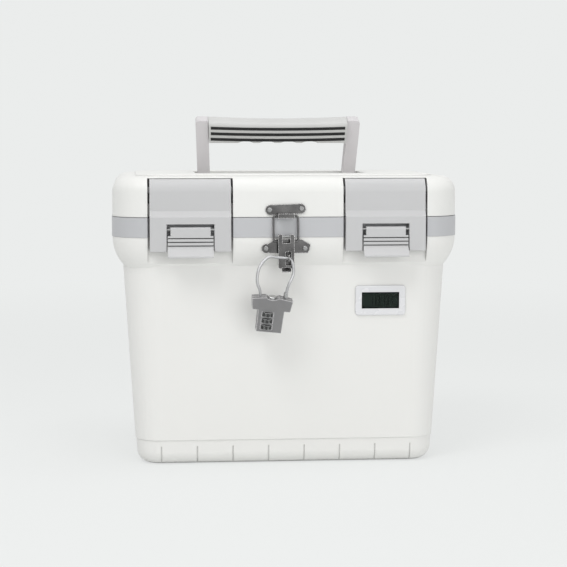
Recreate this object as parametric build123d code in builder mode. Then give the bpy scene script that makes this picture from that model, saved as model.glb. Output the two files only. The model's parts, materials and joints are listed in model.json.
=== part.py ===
"""Specimen transport box: insulated box with a hinged lid, two lever latches, a draw latch with a
hanging combination lock, a carrying handle and a panel thermometer.

Millimetres. X runs to the right, Y to the back and Z up; the front is towards -Y. The origin is the
middle of the base, on the surface that the box stands on.
"""

import os
from math import asin, cos, pi, radians, sin, sqrt, tan

from build123d import *

os.makedirs("parts", exist_ok=True)

# ---------------------------------------------------------------- driving dimensions: the box

BOX_WIDTH = 330.0
BOX_DEPTH = 240.0
PLAN_RADIUS = 40.0
BASE_HEIGHT = 24.0
BASE_LEDGE = 0.8
BASE_EDGE_RADIUS = 13.0
COLLAR_BOTTOM = 190.0
COLLAR_HEIGHT = 29.4
COLLAR_OVERHANG = 10.0
COLLAR_CORNER_LEFT = 0.5
WALL_DRAFT = 3.62
BODY_CORNER_RADIUS = 35.0
BAND_HEIGHT = 18.6
BAND_PROUD = 0.5
SHELL_WALL = 3.0
BODY_FOAM = 26.0
LINER_WALL = 2.5
LINER_CORNER = 16.0
FOAM_CLEARANCE = 0.3
RIM_DECK = 3.0
RIM_LANDING = 9.5

# ---------------------------------------------------------------- driving dimensions: the lid

LID_GAP = 0.5
LID_HEIGHT = 38.0
LID_EDGE_RADIUS = 15.0
LID_WALL = 3.0
DECK_RISE = 1.5
DECK_LAND = 22.0
DECK_RADIUS = 26.0
DECK_FILLET = 1.4
PLUG_DEPTH = 8.0
PLUG_CLEARANCE = 1.5
GASKET_WIDTH = 5.0
GASKET_HEIGHT = 1.8
GASKET_PROUD = 0.3
GASKET_SIDE_CLEARANCE = 0.3

# Base grooves, front and back
GROOVE_COUNT = 8
GROOVE_PITCH = 34.25
GROOVE_WIDTH = 1.2
GROOVE_DEPTH = 0.7
GROOVE_TOP = 18.0
GROOVE_REACH = 18.2

# Rear hinges
HINGE_INSET = 75.0
HINGE_BARREL_RADIUS = 5.0
HINGE_PIN_RADIUS = 2.5
HINGE_PIN_FIT = 0.05
HINGE_STANDOFF = 6.5
KNUCKLE_LENGTH = 14.0
LID_KNUCKLE_LENGTH = 24.0
KNUCKLE_GAP = 0.4
HINGE_WEB_HEIGHT = 11.0

# Side latches
SLOT_INSET = 73.0
SLOT_WIDTH = 80.0
SLOT_TOP_SKIN = 1.9
FLAP_WIDTH = 76.0
FLAP_PROUD = 3.5
FLAP_SKIN = 4.5
FLAP_BELOW_RIM = 12.9
FLAP_CREASE_RISE = 5.7
FLAP_CREASE_START = 0.1
FLAP_PIVOT_BACK = 9.0
FLAP_PIVOT_BELOW_TOP = 13.0
FLAP_TIP_GAP = 0.5
FLAP_BARREL_RADIUS = 4.6
FLAP_SWEEP_CLEARANCE = 1.4
FLAP_PIN_RADIUS = 2.0
FLAP_PIN_FIT = 0.05
FLAP_BOSS_RADIUS = 3.6
FLAP_BOSS_GAP = 0.4
FLAP_RIB = 3.0
FLAP_RIB_DEPTH = 5.5
FLAP_EDGE_FILLET = 0.8
WINDOW_WIDTH = 44.4
WINDOW_BELOW_BAND = 5.9

# Latch levers
LEVER_TOP_DROP = 2.8
LEVER_PIVOT_DROP = 5.1
LEVER_NARROW_WIDTH = 37.4
LEVER_WIDE_WIDTH = 42.6
LEVER_SHOULDER_DROP = 11.1
LEVER_LIP_RISE = 3.3
LEVER_HANG = 5.4
LEVER_PROUD = 0.6
LEVER_THICKNESS = 5.2
LEVER_BACK_RADIUS = 2.08
LEVER_LIP_REACH = 7.0
LEVER_LIP_THICKNESS = 3.0
LEVER_GROOVE_COUNT = 3
LEVER_GROOVE_DROP = 2.2
LEVER_GROOVE_PITCH = 3.5
LEVER_GROOVE_HEIGHT = 1.1
LEVER_GROOVE_DEPTH = 2.0
LEVER_PIN_RADIUS = 1.25
LEVER_PIN_FIT = 0.05
LEVER_PIN_EMBED = 4.0
HOOK_WIDTH = 18.0
HOOK_END_GAP = 1.2
HOOK_HEIGHT = 4.4
CATCH_WIDTH = 30.0
CATCH_HEIGHT = 3.5
CATCH_DROP = 5.6
CATCH_REACH = 5.7
CATCH_GAP = 0.3

# Draw latch, stainless sheet and wire
CLASP_X = -2.75
SHEET = 1.2
KEEPER_LENGTH = 38.0
KEEPER_HEIGHT = 9.4
KEEPER_RISE = 7.1
KEEPER_TILT = 2.3
KEEPER_RIVET_SPACING = 30.0
KEEPER_HOOK_WIDTH = 15.5
KEEPER_HOOK_GAP = 6.5
KEEPER_HOOK_DROP = 0.9
KEEPER_HOOK_LIP = 4.2
KEEPER_HOOK_SHEET = 1.0
RIVET_HEAD_RADIUS = 2.5
RIVET_HEAD_HEIGHT = 1.2
RIVET_SHANK_RADIUS = 1.6
RIVET_FIT = 0.05
RIVET_GRIP = 3.4
RIVET_ROUNDING = 0.8
CLASP_PLATE_DROP = 1.8
CLASP_LOBE_DROP = 10.5
CLASP_LOBE_RADIUS = 4.4
CLASP_LOBE_SPACING = 36.7
CLASP_WING_RISE = 3.5
CLASP_WING_REACH = 2.6
CLASP_SHOULDER_WIDTH = 24.5
CLASP_TONGUE_WIDTH = 13.0
CLASP_TONGUE_DROP = 27.4
FULCRUM_RISE = 1.1
FULCRUM_OUT = 4.4
EAR_RADIUS = 2.0
EAR_SPACING = 11.0
LEVER_SHEET = 1.0
DRAW_WIDTH = 15.0
DRAW_FACE_OUT = 2.5
DRAW_LENGTH = 30.0
DRAW_TIP_LENGTH = 3.2
DRAW_TIP_RADIUS = 4.0
DRAW_TIP_WIDTH = 8.6
DRAW_WINDOW_WIDTH = 7.4
DRAW_WINDOW_DROP = 6.3
DRAW_SLOT_WIDTH = 5.0
DRAW_SLOT_ABOVE_EYE = 6.4
DRAW_SLOT_BELOW_EYE = 6.8
FULCRUM_PIN_RADIUS = 1.1
FULCRUM_PIN_FIT = 0.05
BAIL_WIRE_RADIUS = 0.9
BAIL_WIDTH = 25.0
BAIL_PIVOT_DROP = 5.0
BAIL_PIVOT_BACK = 1.4
BAIL_TOP_BACK = 1.8
BAIL_TOP_RISE = 1.35
BAIL_CORNER = 3.0
BAIL_FIT = 0.06
EYE_OFFSET = 1.8
EYE_SHEET = 1.6
EYE_DROP = 20.3
EYE_OUT = 9.9
EYE_RADIUS = 4.2
EYE_BORE = 2.6

# Combination lock
LOCK_HEM_LEFT = 18.95
LOCK_HEM_IN = 4.1
LOCK_HANG = 67.8
LOCK_LEAN = 14.0
LOCK_ROLL = 6.0
LOCK_THICKNESS = 11.0
LOCK_HEM_WIDTH = 23.6
LOCK_CHEST_WIDTH = 24.6
LOCK_SLEEVE_Z = 21.5
LOCK_CUFF_WIDTH = 35.4
LOCK_SHOULDER_WIDTH = 38.6
LOCK_SHOULDER_Z = 32.0
LOCK_COLLAR_Z = 34.0
LOCK_NECK_WIDTH = 12.0
LOCK_NECK_DIP = 2.2
DIAL_RADIUS = 6.2
DIAL_THICKNESS = 4.2
DIAL_PITCH = 6.2
DIAL_LOWEST = 5.0
DIAL_DEPTH = 3.7
DIAL_OFFSET = -2.9
DIAL_CLEARANCE = 0.3
DIAL_FLUTES = 10
DIAL_FLUTE_RADIUS = 0.45
SPINDLE_RADIUS = 1.6
SPINDLE_FIT = 0.05
SPINDLE_OVERHANG = 2.4
BUTTON_RADIUS = 4.2
BUTTON_PROUD = 2.4
BUTTON_TRAVEL = 1.5
BUTTON_SHANK = 5.0
BUTTON_FIT = 0.1
CABLE_RADIUS = 1.4
CABLE_HOLE_CLEARANCE = 0.1
CABLE_SEAT_DEPTH = 3.0
CABLE_LEFT = -11.4
CABLE_RIGHT = 12.2
CABLE_LEFT_RISE = 8.0
CABLE_RIGHT_RISE = 13.0
CABLE_BEND = 0.45
FERRULE_RADIUS = 2.1
FERRULE_LENGTH = 5.0

# Panel thermometer
GAUGE_INSET = 76.0
GAUGE_BELOW_COLLAR = 31.8
GAUGE_EDGE_FILLET = 0.8
GAUGE_WIDTH = 48.0
GAUGE_HEIGHT = 28.6
GAUGE_CORNER = 3.0
GAUGE_PROUD = 2.0
GAUGE_WINDOW_WIDTH = 36.0
GAUGE_WINDOW_HEIGHT = 15.8
GAUGE_LENS_MARGIN = 1.2
GAUGE_CASE_WIDTH = 45.0
GAUGE_CASE_HEIGHT = 25.6
GAUGE_CASE_DEPTH = 13.0
GAUGE_CASE_WALL = 1.5
GAUGE_FIT = 0.3
GAUGE_LENS = 1.0
GAUGE_GLASS = 2.0
GAUGE_BOARD = 1.2
CELL_RADIUS = 5.8
CELL_HEIGHT = 5.2
CELL_SPACING = 13.0
PROBE_GROMMET_RADIUS = 5.0
PROBE_GROMMET_BORE = 1.5
PROBE_GROMMET_LIP = 1.2
PROBE_BELOW_COLLAR = 40.0

# Handle
HANDLE_PIVOT_Y = 25.0
HANDLE_PIVOT_DROP = 8.5
HANDLE_LEAN = 22.0
HANDLE_TOP_WIDTH = 165.0
HANDLE_FOOT_WIDTH = 159.0
HANDLE_ARM_WIDTH = 12.4
HANDLE_ARM_THICKNESS = 13.0
HANDLE_LENGTH = 68.2
HANDLE_TIP_RADIUS = 3.0
GRIP_BOTTOM = 45.9
GRIP_TOP = 68.3
GRIP_SAG = 2.0
GRIP_THICKNESS = 19.0
GRIP_FILLET = 4.5
GRIP_END_GAP = 0.3
TIE_BAR_HEIGHT = 8.0
TIE_BAR_THICKNESS = 8.0
TIE_BAR_Z = 57.0
TIE_BAR_CLEARANCE = 0.3
SCALLOP_COUNT = 4
SCALLOP_PITCH = 21.4
SCALLOP_RADIUS = 16.0
SCALLOP_DEPTH = 2.0
INLAY_COUNT = 3
INLAY_LENGTH = 134.8
INLAY_HEIGHT = 2.9
INLAY_PITCH = 5.9
INLAY_TOP = 61.9
INLAY_SAG = 1.2
INLAY_DEPTH = 1.6
INLAY_PROUD = 0.3
HANDLE_PIN_RADIUS = 3.0
HANDLE_PIN_FIT = 0.05
TRAY_SIDE_CLEARANCE = 1.5
TRAY_BELOW_PIVOT = 11.5
TRAY_REAR_CLEARANCE = 9.0
TRAY_FRONT_CLEARANCE = 4.0
TRAY_CORNER = 6.0
STOP_GAP = 0.3
STOP_HEIGHT = 8.0

# ---------------------------------------------------------------- levels and places that follow

SLOPE = tan(radians(WALL_DRAFT))
RIM_BOTTOM = COLLAR_BOTTOM + COLLAR_HEIGHT
RIM_TOP = RIM_BOTTOM + BAND_HEIGHT
LID_BOTTOM = RIM_TOP + LID_GAP
LID_TOP = LID_BOTTOM + LID_HEIGHT
DECK_TOP = LID_TOP + DECK_RISE
FRONT = -BOX_DEPTH / 2
BACK = BOX_DEPTH / 2
FOAM_TOP = RIM_TOP - RIM_DECK
SHELL_FLOOR = SHELL_WALL
LINER_INSET = SHELL_WALL + BODY_FOAM
CHAMBER_INSET = LINER_INSET + LINER_WALL
LINER_FLOOR = SHELL_FLOOR + BODY_FOAM
CLEAR = 1.0
RECESS_BACK = COLLAR_OVERHANG + FRONT - COLLAR_HEIGHT * SLOPE
FAR_FRONT = FRONT - COLLAR_OVERHANG
COLLAR_CURVE = PLAN_RADIUS - COLLAR_CORNER_LEFT
DECK_WIDTH = BOX_WIDTH - 2 * DECK_LAND
DECK_DEPTH = BOX_DEPTH - 2 * DECK_LAND
SLOT_CENTRE = BOX_WIDTH / 2 - SLOT_INSET
FLAP_BOTTOM = RIM_BOTTOM - FLAP_BELOW_RIM
FLAP_CREASE_TOP = LID_BOTTOM + FLAP_CREASE_RISE
FLAP_CREASE_BOTTOM = LID_BOTTOM + FLAP_CREASE_START
WINDOW_TOP = RIM_TOP - WINDOW_BELOW_BAND
LEVER_TOP = WINDOW_TOP - LEVER_TOP_DROP
LEVER_PIVOT_Z = WINDOW_TOP - LEVER_PIVOT_DROP
LEVER_SHOULDER = WINDOW_TOP - LEVER_SHOULDER_DROP
LEVER_LIP_TOP = FLAP_BOTTOM + LEVER_LIP_RISE
LEVER_BOTTOM = FLAP_BOTTOM - LEVER_HANG
LEVER_GROOVES = [
    LEVER_SHOULDER - LEVER_GROOVE_DROP - index * LEVER_GROOVE_PITCH for index in range(LEVER_GROOVE_COUNT)
]
CATCH_BOTTOM = RIM_BOTTOM - CATCH_DROP
KEEPER_Z = LID_BOTTOM + KEEPER_RISE
KEEPER_HOOK_BOTTOM = LID_BOTTOM - KEEPER_HOOK_DROP
KEEPER_HOOK_TOP = KEEPER_HOOK_BOTTOM + KEEPER_HOOK_LIP
CLASP_PLATE_TOP = RIM_BOTTOM - CLASP_PLATE_DROP
CLASP_LOBE_Z = RIM_BOTTOM - CLASP_LOBE_DROP
CLASP_TONGUE_BOTTOM = RIM_BOTTOM - CLASP_TONGUE_DROP
FULCRUM_Z = RIM_BOTTOM + FULCRUM_RISE
DRAW_BOTTOM = FULCRUM_Z - DRAW_LENGTH
DRAW_WINDOW_BOTTOM = FULCRUM_Z - DRAW_WINDOW_DROP
EYE_Z = FULCRUM_Z - EYE_DROP
DRAW_SLOT_TOP = EYE_Z + DRAW_SLOT_ABOVE_EYE
DRAW_SLOT_BOTTOM = EYE_Z - DRAW_SLOT_BELOW_EYE
BAIL_TOP_Z = LID_BOTTOM + BAIL_TOP_RISE
GAUGE_X = BOX_WIDTH / 2 - GAUGE_INSET
GAUGE_Z = COLLAR_BOTTOM - GAUGE_BELOW_COLLAR
PROBE_GROMMET_Z = COLLAR_BOTTOM - PROBE_BELOW_COLLAR
HANDLE_PIVOT_Z = LID_TOP - HANDLE_PIVOT_DROP
TRAY_FLOOR = HANDLE_PIVOT_Z - TRAY_BELOW_PIVOT


def body_plan(level, inset=0.0, corner=None):
    """Width, depth and corner radius of the drafted walls at a level, drawn in by an inset."""
    lean = (COLLAR_BOTTOM - level) * SLOPE
    width = BOX_WIDTH - 2 * (COLLAR_OVERHANG + lean + inset)
    depth = BOX_DEPTH - 2 * (COLLAR_OVERHANG + lean + inset)
    radius = BODY_CORNER_RADIUS - lean - inset if corner is None else corner
    return width, depth, radius


def wall_front(level):
    """Y of the drafted front wall at a level."""
    return -body_plan(level)[1] / 2


def leaning_plane(x, y, z, lean, roll=0.0):
    """Plane that faces the front, its top leaning forward and rolled clockwise as seen from there."""
    tip = radians(lean)
    turn = radians(roll)
    across = (cos(turn), sin(tip) * sin(turn), -cos(tip) * sin(turn))
    facing = (0, -cos(tip), -sin(tip))
    return Plane(origin=(x, y, z), x_dir=across, z_dir=facing)


def drafted_block(low, high, inset=0.0, corner=None):
    """Solid inside the drafted walls between two levels."""
    with BuildPart() as block:
        for level in (low, high):
            with BuildSketch(Plane.XY.offset(level)):
                RectangleRounded(*body_plan(level, inset, corner))
        loft()
    return block.part


def rounded_block(width, depth, radius, low, high):
    """Upright block with rounded plan corners."""
    with BuildPart() as block:
        with BuildSketch(Plane.XY.offset(low)):
            RectangleRounded(width, depth, radius)
        extrude(amount=high - low)
    return block.part


def ruled_box(x_low, x_high, y_low, y_high, z_low, z_high):
    """Plain box between its limits, used for cuts and ribs."""
    with BuildPart() as block:
        with BuildSketch(Plane.XY.offset(z_low)):
            with Locations(((x_low + x_high) / 2, (y_low + y_high) / 2)):
                Rectangle(x_high - x_low, y_high - y_low)
        extrude(amount=z_high - z_low)
    return block.part


def cross_rod(radius, x_low, x_high, y, z):
    """Round rod along X."""
    with BuildPart() as rod:
        with BuildSketch(Plane.YZ.offset(x_low)):
            with Locations((y, z)):
                Circle(radius)
        extrude(amount=x_high - x_low)
    return rod.part


def side_profile(points, x_low, x_high):
    """Prism along X over a closed outline given as (Y, Z) points."""
    with BuildPart() as prism:
        with BuildSketch(Plane.YZ.offset(x_low)):
            with BuildLine():
                Polyline(*points, close=True)
            make_face()
        extrude(amount=x_high - x_low)
    return prism.part


def slot_block(grow, back, low, high):
    """The two latch slots as blocks, grown on their sides by a wall thickness."""
    with BuildPart() as blocks:
        with BuildSketch(Plane.XY.offset(low)):
            with Locations(
                (-SLOT_CENTRE, (FAR_FRONT + back) / 2),
                (SLOT_CENTRE, (FAR_FRONT + back) / 2),
            ):
                Rectangle(SLOT_WIDTH + 2 * grow, back - FAR_FRONT)
        extrude(amount=high - low)
    return blocks.part


def collar_block(inset, low):
    """Bulging upper collar under the rim band, its sides curving in towards the bottom."""
    curve = COLLAR_CURVE - inset
    with BuildPart() as block:
        with BuildSketch(Plane.XY.offset(RIM_BOTTOM - curve - CLEAR)):
            RectangleRounded(BOX_WIDTH - 2 * inset, BOX_DEPTH - 2 * inset, PLAN_RADIUS - inset)
        extrude(amount=curve + CLEAR)
        fillet(block.edges().group_by(Axis.Z)[0], radius=curve)
        split(bisect_by=Plane.XY.offset(low), keep=Keep.TOP)
    return block.part


def base_block(inset, floor):
    """Plinth below the ledge line, rounded along its bottom edge."""
    with BuildPart() as block:
        add(drafted_block(floor, BASE_HEIGHT, BASE_LEDGE + inset))
        fillet(block.edges().group_by(Axis.Z)[0], radius=BASE_EDGE_RADIUS - inset)
    return block.part


def slotted_collar(inset, low):
    """Collar with the two latch recesses taken out, back to the drafted wall."""
    with BuildPart() as collar:
        add(collar_block(inset, low))
        add(slot_block(inset, RECESS_BACK + inset, low - CLEAR, RIM_TOP), mode=Mode.SUBTRACT)
    return collar.part


def slotted_band(inset, low, high):
    """Rim band outline between two levels, drawn in by an inset and clear of the latch slots."""
    with BuildPart() as band:
        grow = 2 * (BAND_PROUD - inset)
        radius = PLAN_RADIUS + BAND_PROUD - inset
        add(rounded_block(BOX_WIDTH + grow, BOX_DEPTH + grow, radius, low, high))
        add(slot_block(inset, RECESS_BACK + inset, low - CLEAR, high + CLEAR), mode=Mode.SUBTRACT)
    return band.part


def shell_cavity(inset, floor):
    """Room inside the outer shell, up to the rim, clear of the two latch recesses."""
    with BuildPart() as room:
        add(base_block(inset, floor))
        add(drafted_block(BASE_HEIGHT, RIM_BOTTOM, inset + BASE_LEDGE))
        add(slotted_collar(inset, COLLAR_BOTTOM + inset))
    return room.part


def export_piece(piece, name):
    """Label a finished piece and write its file."""
    piece.part.label = name
    export_step(piece.part, f"parts/{name}.step")


# ---------------------------------------------------------------- outer shell

GROOVE_XS = [(index - (GROOVE_COUNT - 1) / 2) * GROOVE_PITCH for index in range(GROOVE_COUNT)]
CLASP_PAD_BACK = FRONT + COLLAR_OVERHANG


def butterfly(level_y, amount):
    """Base plate outline of the draw latch: two rivet lobes, shoulders and a middle tongue."""
    with BuildPart() as plate:
        with BuildSketch(Plane.XZ.offset(-level_y)):
            with Locations((CLASP_X, 0)):
                with BuildLine():
                    half_lobe = CLASP_LOBE_SPACING / 2
                    half_shoulder = CLASP_SHOULDER_WIDTH / 2
                    lobe_low = CLASP_LOBE_Z - CLASP_LOBE_RADIUS
                    lobe_high = CLASP_LOBE_Z + CLASP_WING_RISE
                    lobe_side = half_lobe + CLASP_WING_REACH
                    Polyline(
                        (-half_lobe, lobe_low),
                        (half_lobe, lobe_low),
                        (lobe_side, lobe_high),
                        (half_shoulder, CLASP_PLATE_TOP),
                        (-half_shoulder, CLASP_PLATE_TOP),
                        (-lobe_side, lobe_high),
                        close=True,
                    )
                make_face()
            with Locations(
                (CLASP_X - CLASP_LOBE_SPACING / 2, CLASP_LOBE_Z),
                (CLASP_X + CLASP_LOBE_SPACING / 2, CLASP_LOBE_Z),
            ):
                Circle(CLASP_LOBE_RADIUS)
            with Locations((CLASP_X, (CLASP_TONGUE_BOTTOM + CLASP_LOBE_Z) / 2)):
                Rectangle(CLASP_TONGUE_WIDTH, CLASP_LOBE_Z - CLASP_TONGUE_BOTTOM)
        extrude(amount=amount)
    return plate.part


GAUGE_LEAN = WALL_DRAFT
GAUGE_PLANE = leaning_plane(GAUGE_X, wall_front(GAUGE_Z), GAUGE_Z, GAUGE_LEAN)

GROMMET_PLANE = leaning_plane(
    GAUGE_X, wall_front(PROBE_GROMMET_Z) + LINER_INSET, PROBE_GROMMET_Z, GAUGE_LEAN
)

with BuildPart() as base_form:
    add(base_block(0.0, 0.0))
    for side in (FRONT, BACK):
        reach = side - side * 2 * GROOVE_REACH / BOX_DEPTH
        with BuildSketch(Plane.XY):
            with Locations(*[(x, (side + reach) / 2) for x in GROOVE_XS]):
                Rectangle(GROOVE_WIDTH, abs(side - reach) + COLLAR_OVERHANG * 2)
        extrude(amount=GROOVE_TOP, mode=Mode.SUBTRACT)
    add(base_block(GROOVE_DEPTH, GROOVE_DEPTH))

with BuildPart() as outer_shell:
    add(base_form.part)
    add(drafted_block(BASE_HEIGHT, RIM_BOTTOM))
    add(slotted_collar(0.0, COLLAR_BOTTOM))
    add(butterfly(CLASP_PAD_BACK, COLLAR_OVERHANG))
    for side in (-1, 1):
        catch_x = side * SLOT_CENTRE
        add(
            ruled_box(
                catch_x - CATCH_WIDTH / 2,
                catch_x + CATCH_WIDTH / 2,
                RECESS_BACK - CATCH_REACH,
                RECESS_BACK + SHELL_WALL / 2,
                CATCH_BOTTOM,
                CATCH_BOTTOM + CATCH_HEIGHT,
            )
        )
    add(shell_cavity(SHELL_WALL, SHELL_FLOOR), mode=Mode.SUBTRACT)
    with BuildSketch(GAUGE_PLANE.offset(CLEAR)):
        Rectangle(GAUGE_CASE_WIDTH + 2 * GAUGE_FIT, GAUGE_CASE_HEIGHT + 2 * GAUGE_FIT)
    extrude(amount=-SHELL_WALL * 2 - CLEAR, mode=Mode.SUBTRACT)
    with BuildSketch(Plane.XZ.offset(-FRONT)):
        with Locations(
            (CLASP_X - CLASP_LOBE_SPACING / 2, CLASP_LOBE_Z),
            (CLASP_X + CLASP_LOBE_SPACING / 2, CLASP_LOBE_Z),
        ):
            Circle(RIVET_SHANK_RADIUS + RIVET_FIT)
    extrude(amount=-COLLAR_OVERHANG, mode=Mode.SUBTRACT)
export_piece(outer_shell, "outer_shell")

# ---------------------------------------------------------------- rim band, foam and inner liner

HINGE_Y = BACK + HINGE_STANDOFF
HINGE_Z = (RIM_TOP + LID_BOTTOM) / 2
HINGE_XS = (HINGE_INSET - BOX_WIDTH / 2, BOX_WIDTH / 2 - HINGE_INSET)
LANDING_INSET = CHAMBER_INSET - RIM_LANDING
LANDING_WIDTH, LANDING_DEPTH, LANDING_RADIUS = body_plan(FOAM_TOP, LANDING_INSET, LINER_CORNER)


def knuckle(x_low, x_high, face_y, web_low, web_high):
    """Hinge barrel about the hinge line, with the web that joins it to a rear face."""
    with BuildPart() as piece:
        add(cross_rod(HINGE_BARREL_RADIUS, x_low, x_high, HINGE_Y, HINGE_Z))
        add(ruled_box(x_low, x_high, face_y, HINGE_Y, web_low, web_high))
        add(
            cross_rod(HINGE_PIN_RADIUS + HINGE_PIN_FIT, x_low - CLEAR, x_high + CLEAR, HINGE_Y, HINGE_Z),
            mode=Mode.SUBTRACT,
        )
    return piece.part


with BuildPart() as rim_band:
    add(slotted_band(0.0, RIM_BOTTOM, RIM_TOP))
    add(slotted_band(SHELL_WALL, RIM_BOTTOM - CLEAR, FOAM_TOP), mode=Mode.SUBTRACT)
    add(
        rounded_block(LANDING_WIDTH, LANDING_DEPTH, LANDING_RADIUS, FOAM_TOP - CLEAR, RIM_TOP + CLEAR),
        mode=Mode.SUBTRACT,
    )
    for hinge_x in HINGE_XS:
        inner = LID_KNUCKLE_LENGTH / 2 + KNUCKLE_GAP
        outer = inner + KNUCKLE_LENGTH
        for low, high in ((-outer, -inner), (inner, outer)):
            add(knuckle(hinge_x + low, hinge_x + high, BACK, HINGE_Z - HINGE_WEB_HEIGHT, HINGE_Z))
export_piece(rim_band, "rim_band")

with BuildPart() as inner_liner:
    add(drafted_block(LINER_FLOOR, RIM_TOP, LINER_INSET, LINER_CORNER))
    add(
        rounded_block(
            LANDING_WIDTH - 2 * FOAM_CLEARANCE,
            LANDING_DEPTH - 2 * FOAM_CLEARANCE,
            LANDING_RADIUS - FOAM_CLEARANCE,
            FOAM_TOP,
            RIM_TOP,
        )
    )
    add(
        drafted_block(
            LINER_FLOOR + LINER_WALL, RIM_TOP + CLEAR, CHAMBER_INSET, LINER_CORNER - LINER_WALL
        ),
        mode=Mode.SUBTRACT,
    )
    with BuildSketch(GROMMET_PLANE.offset(CLEAR)):
        Circle(PROBE_GROMMET_RADIUS - PROBE_GROMMET_LIP)
    extrude(amount=-LINER_WALL - 2 * CLEAR, mode=Mode.SUBTRACT)
export_piece(inner_liner, "inner_liner")

with BuildPart() as body_insulation:
    add(shell_cavity(SHELL_WALL + FOAM_CLEARANCE, SHELL_FLOOR))
    add(slotted_band(SHELL_WALL + FOAM_CLEARANCE, RIM_BOTTOM, FOAM_TOP))
    add(
        drafted_block(LINER_FLOOR, FOAM_TOP + CLEAR, LINER_INSET - FOAM_CLEARANCE, LINER_CORNER),
        mode=Mode.SUBTRACT,
    )
    with BuildSketch(GAUGE_PLANE.offset(-SHELL_WALL)):
        Rectangle(GAUGE_CASE_WIDTH + 2 * CLEAR, GAUGE_CASE_HEIGHT + 2 * CLEAR)
    extrude(amount=-GAUGE_CASE_DEPTH, mode=Mode.SUBTRACT)
    with BuildSketch(GROMMET_PLANE.offset(-CLEAR)):
        Circle(PROBE_GROMMET_RADIUS + FOAM_CLEARANCE)
    extrude(amount=BODY_FOAM, mode=Mode.SUBTRACT)
export_piece(body_insulation, "body_insulation")

with BuildPart() as hinge_pins:
    pin_half = LID_KNUCKLE_LENGTH / 2 + KNUCKLE_GAP + KNUCKLE_LENGTH
    for hinge_x in HINGE_XS:
        add(cross_rod(HINGE_PIN_RADIUS, hinge_x - pin_half, hinge_x + pin_half, HINGE_Y, HINGE_Z))
export_piece(hinge_pins, "hinge_pins")

# ---------------------------------------------------------------- lid

PIVOT_Y = FRONT + FLAP_PIVOT_BACK
PIVOT_Z = LID_TOP - FLAP_PIVOT_BELOW_TOP
POCKET_TOP = LID_TOP - SLOT_TOP_SKIN
ARC_Y = FRONT + LID_EDGE_RADIUS
ARC_Z = LID_TOP - LID_EDGE_RADIUS
FLAP_TIP_Z = POCKET_TOP - FLAP_TIP_GAP
FLAP_TIP_Y = ARC_Y - sqrt(LID_EDGE_RADIUS**2 - (FLAP_TIP_Z - ARC_Z) ** 2)
FLAP_REACH = sqrt((FLAP_TIP_Y - PIVOT_Y) ** 2 + (FLAP_TIP_Z - PIVOT_Z) ** 2)
POCKET_BACK = PIVOT_Y + FLAP_REACH + FLAP_SWEEP_CLEARANCE
POCKET_FLOOR = PIVOT_Z - FLAP_REACH - FLAP_SWEEP_CLEARANCE
WIDEST_HALF = max(HANDLE_TOP_WIDTH, HANDLE_FOOT_WIDTH) / 2
TRAY_HALF = WIDEST_HALF + TRAY_SIDE_CLEARANCE
TRAY_REAR = HANDLE_PIVOT_Y + TRAY_REAR_CLEARANCE
TRAY_FRONT = HANDLE_PIVOT_Y - HANDLE_LENGTH - TRAY_FRONT_CLEARANCE


def lid_pocket(grow):
    """Room in the lid for the two latch flaps, grown by a wall thickness."""
    with BuildPart() as pocket:
        add(slot_block(grow, RECESS_BACK + grow, LID_BOTTOM - CLEAR, POCKET_FLOOR + CLEAR))
        add(slot_block(grow, POCKET_BACK + grow, POCKET_FLOOR - grow, POCKET_TOP + grow))
    return pocket.part


def lid_tray(grow):
    """Recess that the handle folds into, grown by a wall thickness."""
    with BuildPart() as tray:
        with BuildSketch(Plane.XY.offset(TRAY_FLOOR - grow)):
            with Locations((0, (TRAY_FRONT + TRAY_REAR) / 2)):
                RectangleRounded(
                    2 * (TRAY_HALF + grow), TRAY_REAR - TRAY_FRONT + 2 * grow, TRAY_CORNER + grow
                )
        extrude(amount=DECK_TOP + CLEAR - TRAY_FLOOR + grow)
    return tray.part


def lid_block(inset, low):
    """Lid outline with its rounded top edge, drawn in by an inset."""
    with BuildPart() as block:
        width = BOX_WIDTH - 2 * inset
        depth = BOX_DEPTH - 2 * inset
        add(rounded_block(width, depth, PLAN_RADIUS - inset, low, LID_TOP - inset))
        fillet(block.edges().group_by(Axis.Z)[-1], radius=LID_EDGE_RADIUS - inset)
    return block.part


def lid_room(inset, low):
    """Hollow of the lid, round the latch pockets and under the handle tray."""
    with BuildPart() as room:
        add(lid_block(inset, low))
        add(lid_pocket(inset), mode=Mode.SUBTRACT)
        add(lid_tray(inset), mode=Mode.SUBTRACT)
    return room.part


ARM_BACK = HANDLE_ARM_THICKNESS / 2
LEAN_SIN = sin(radians(HANDLE_LEAN))
LEAN_COS = cos(radians(HANDLE_LEAN))


def arm_back_y(level):
    """Y of the raised handle arm's rear face at a level."""
    along = (level - HANDLE_PIVOT_Z - ARM_BACK * LEAN_SIN) / LEAN_COS
    return HANDLE_PIVOT_Y + ARM_BACK * LEAN_COS - along * LEAN_SIN


KEEPER_PLANE = leaning_plane(CLASP_X, FRONT, KEEPER_Z, 0.0, -KEEPER_TILT)

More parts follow.
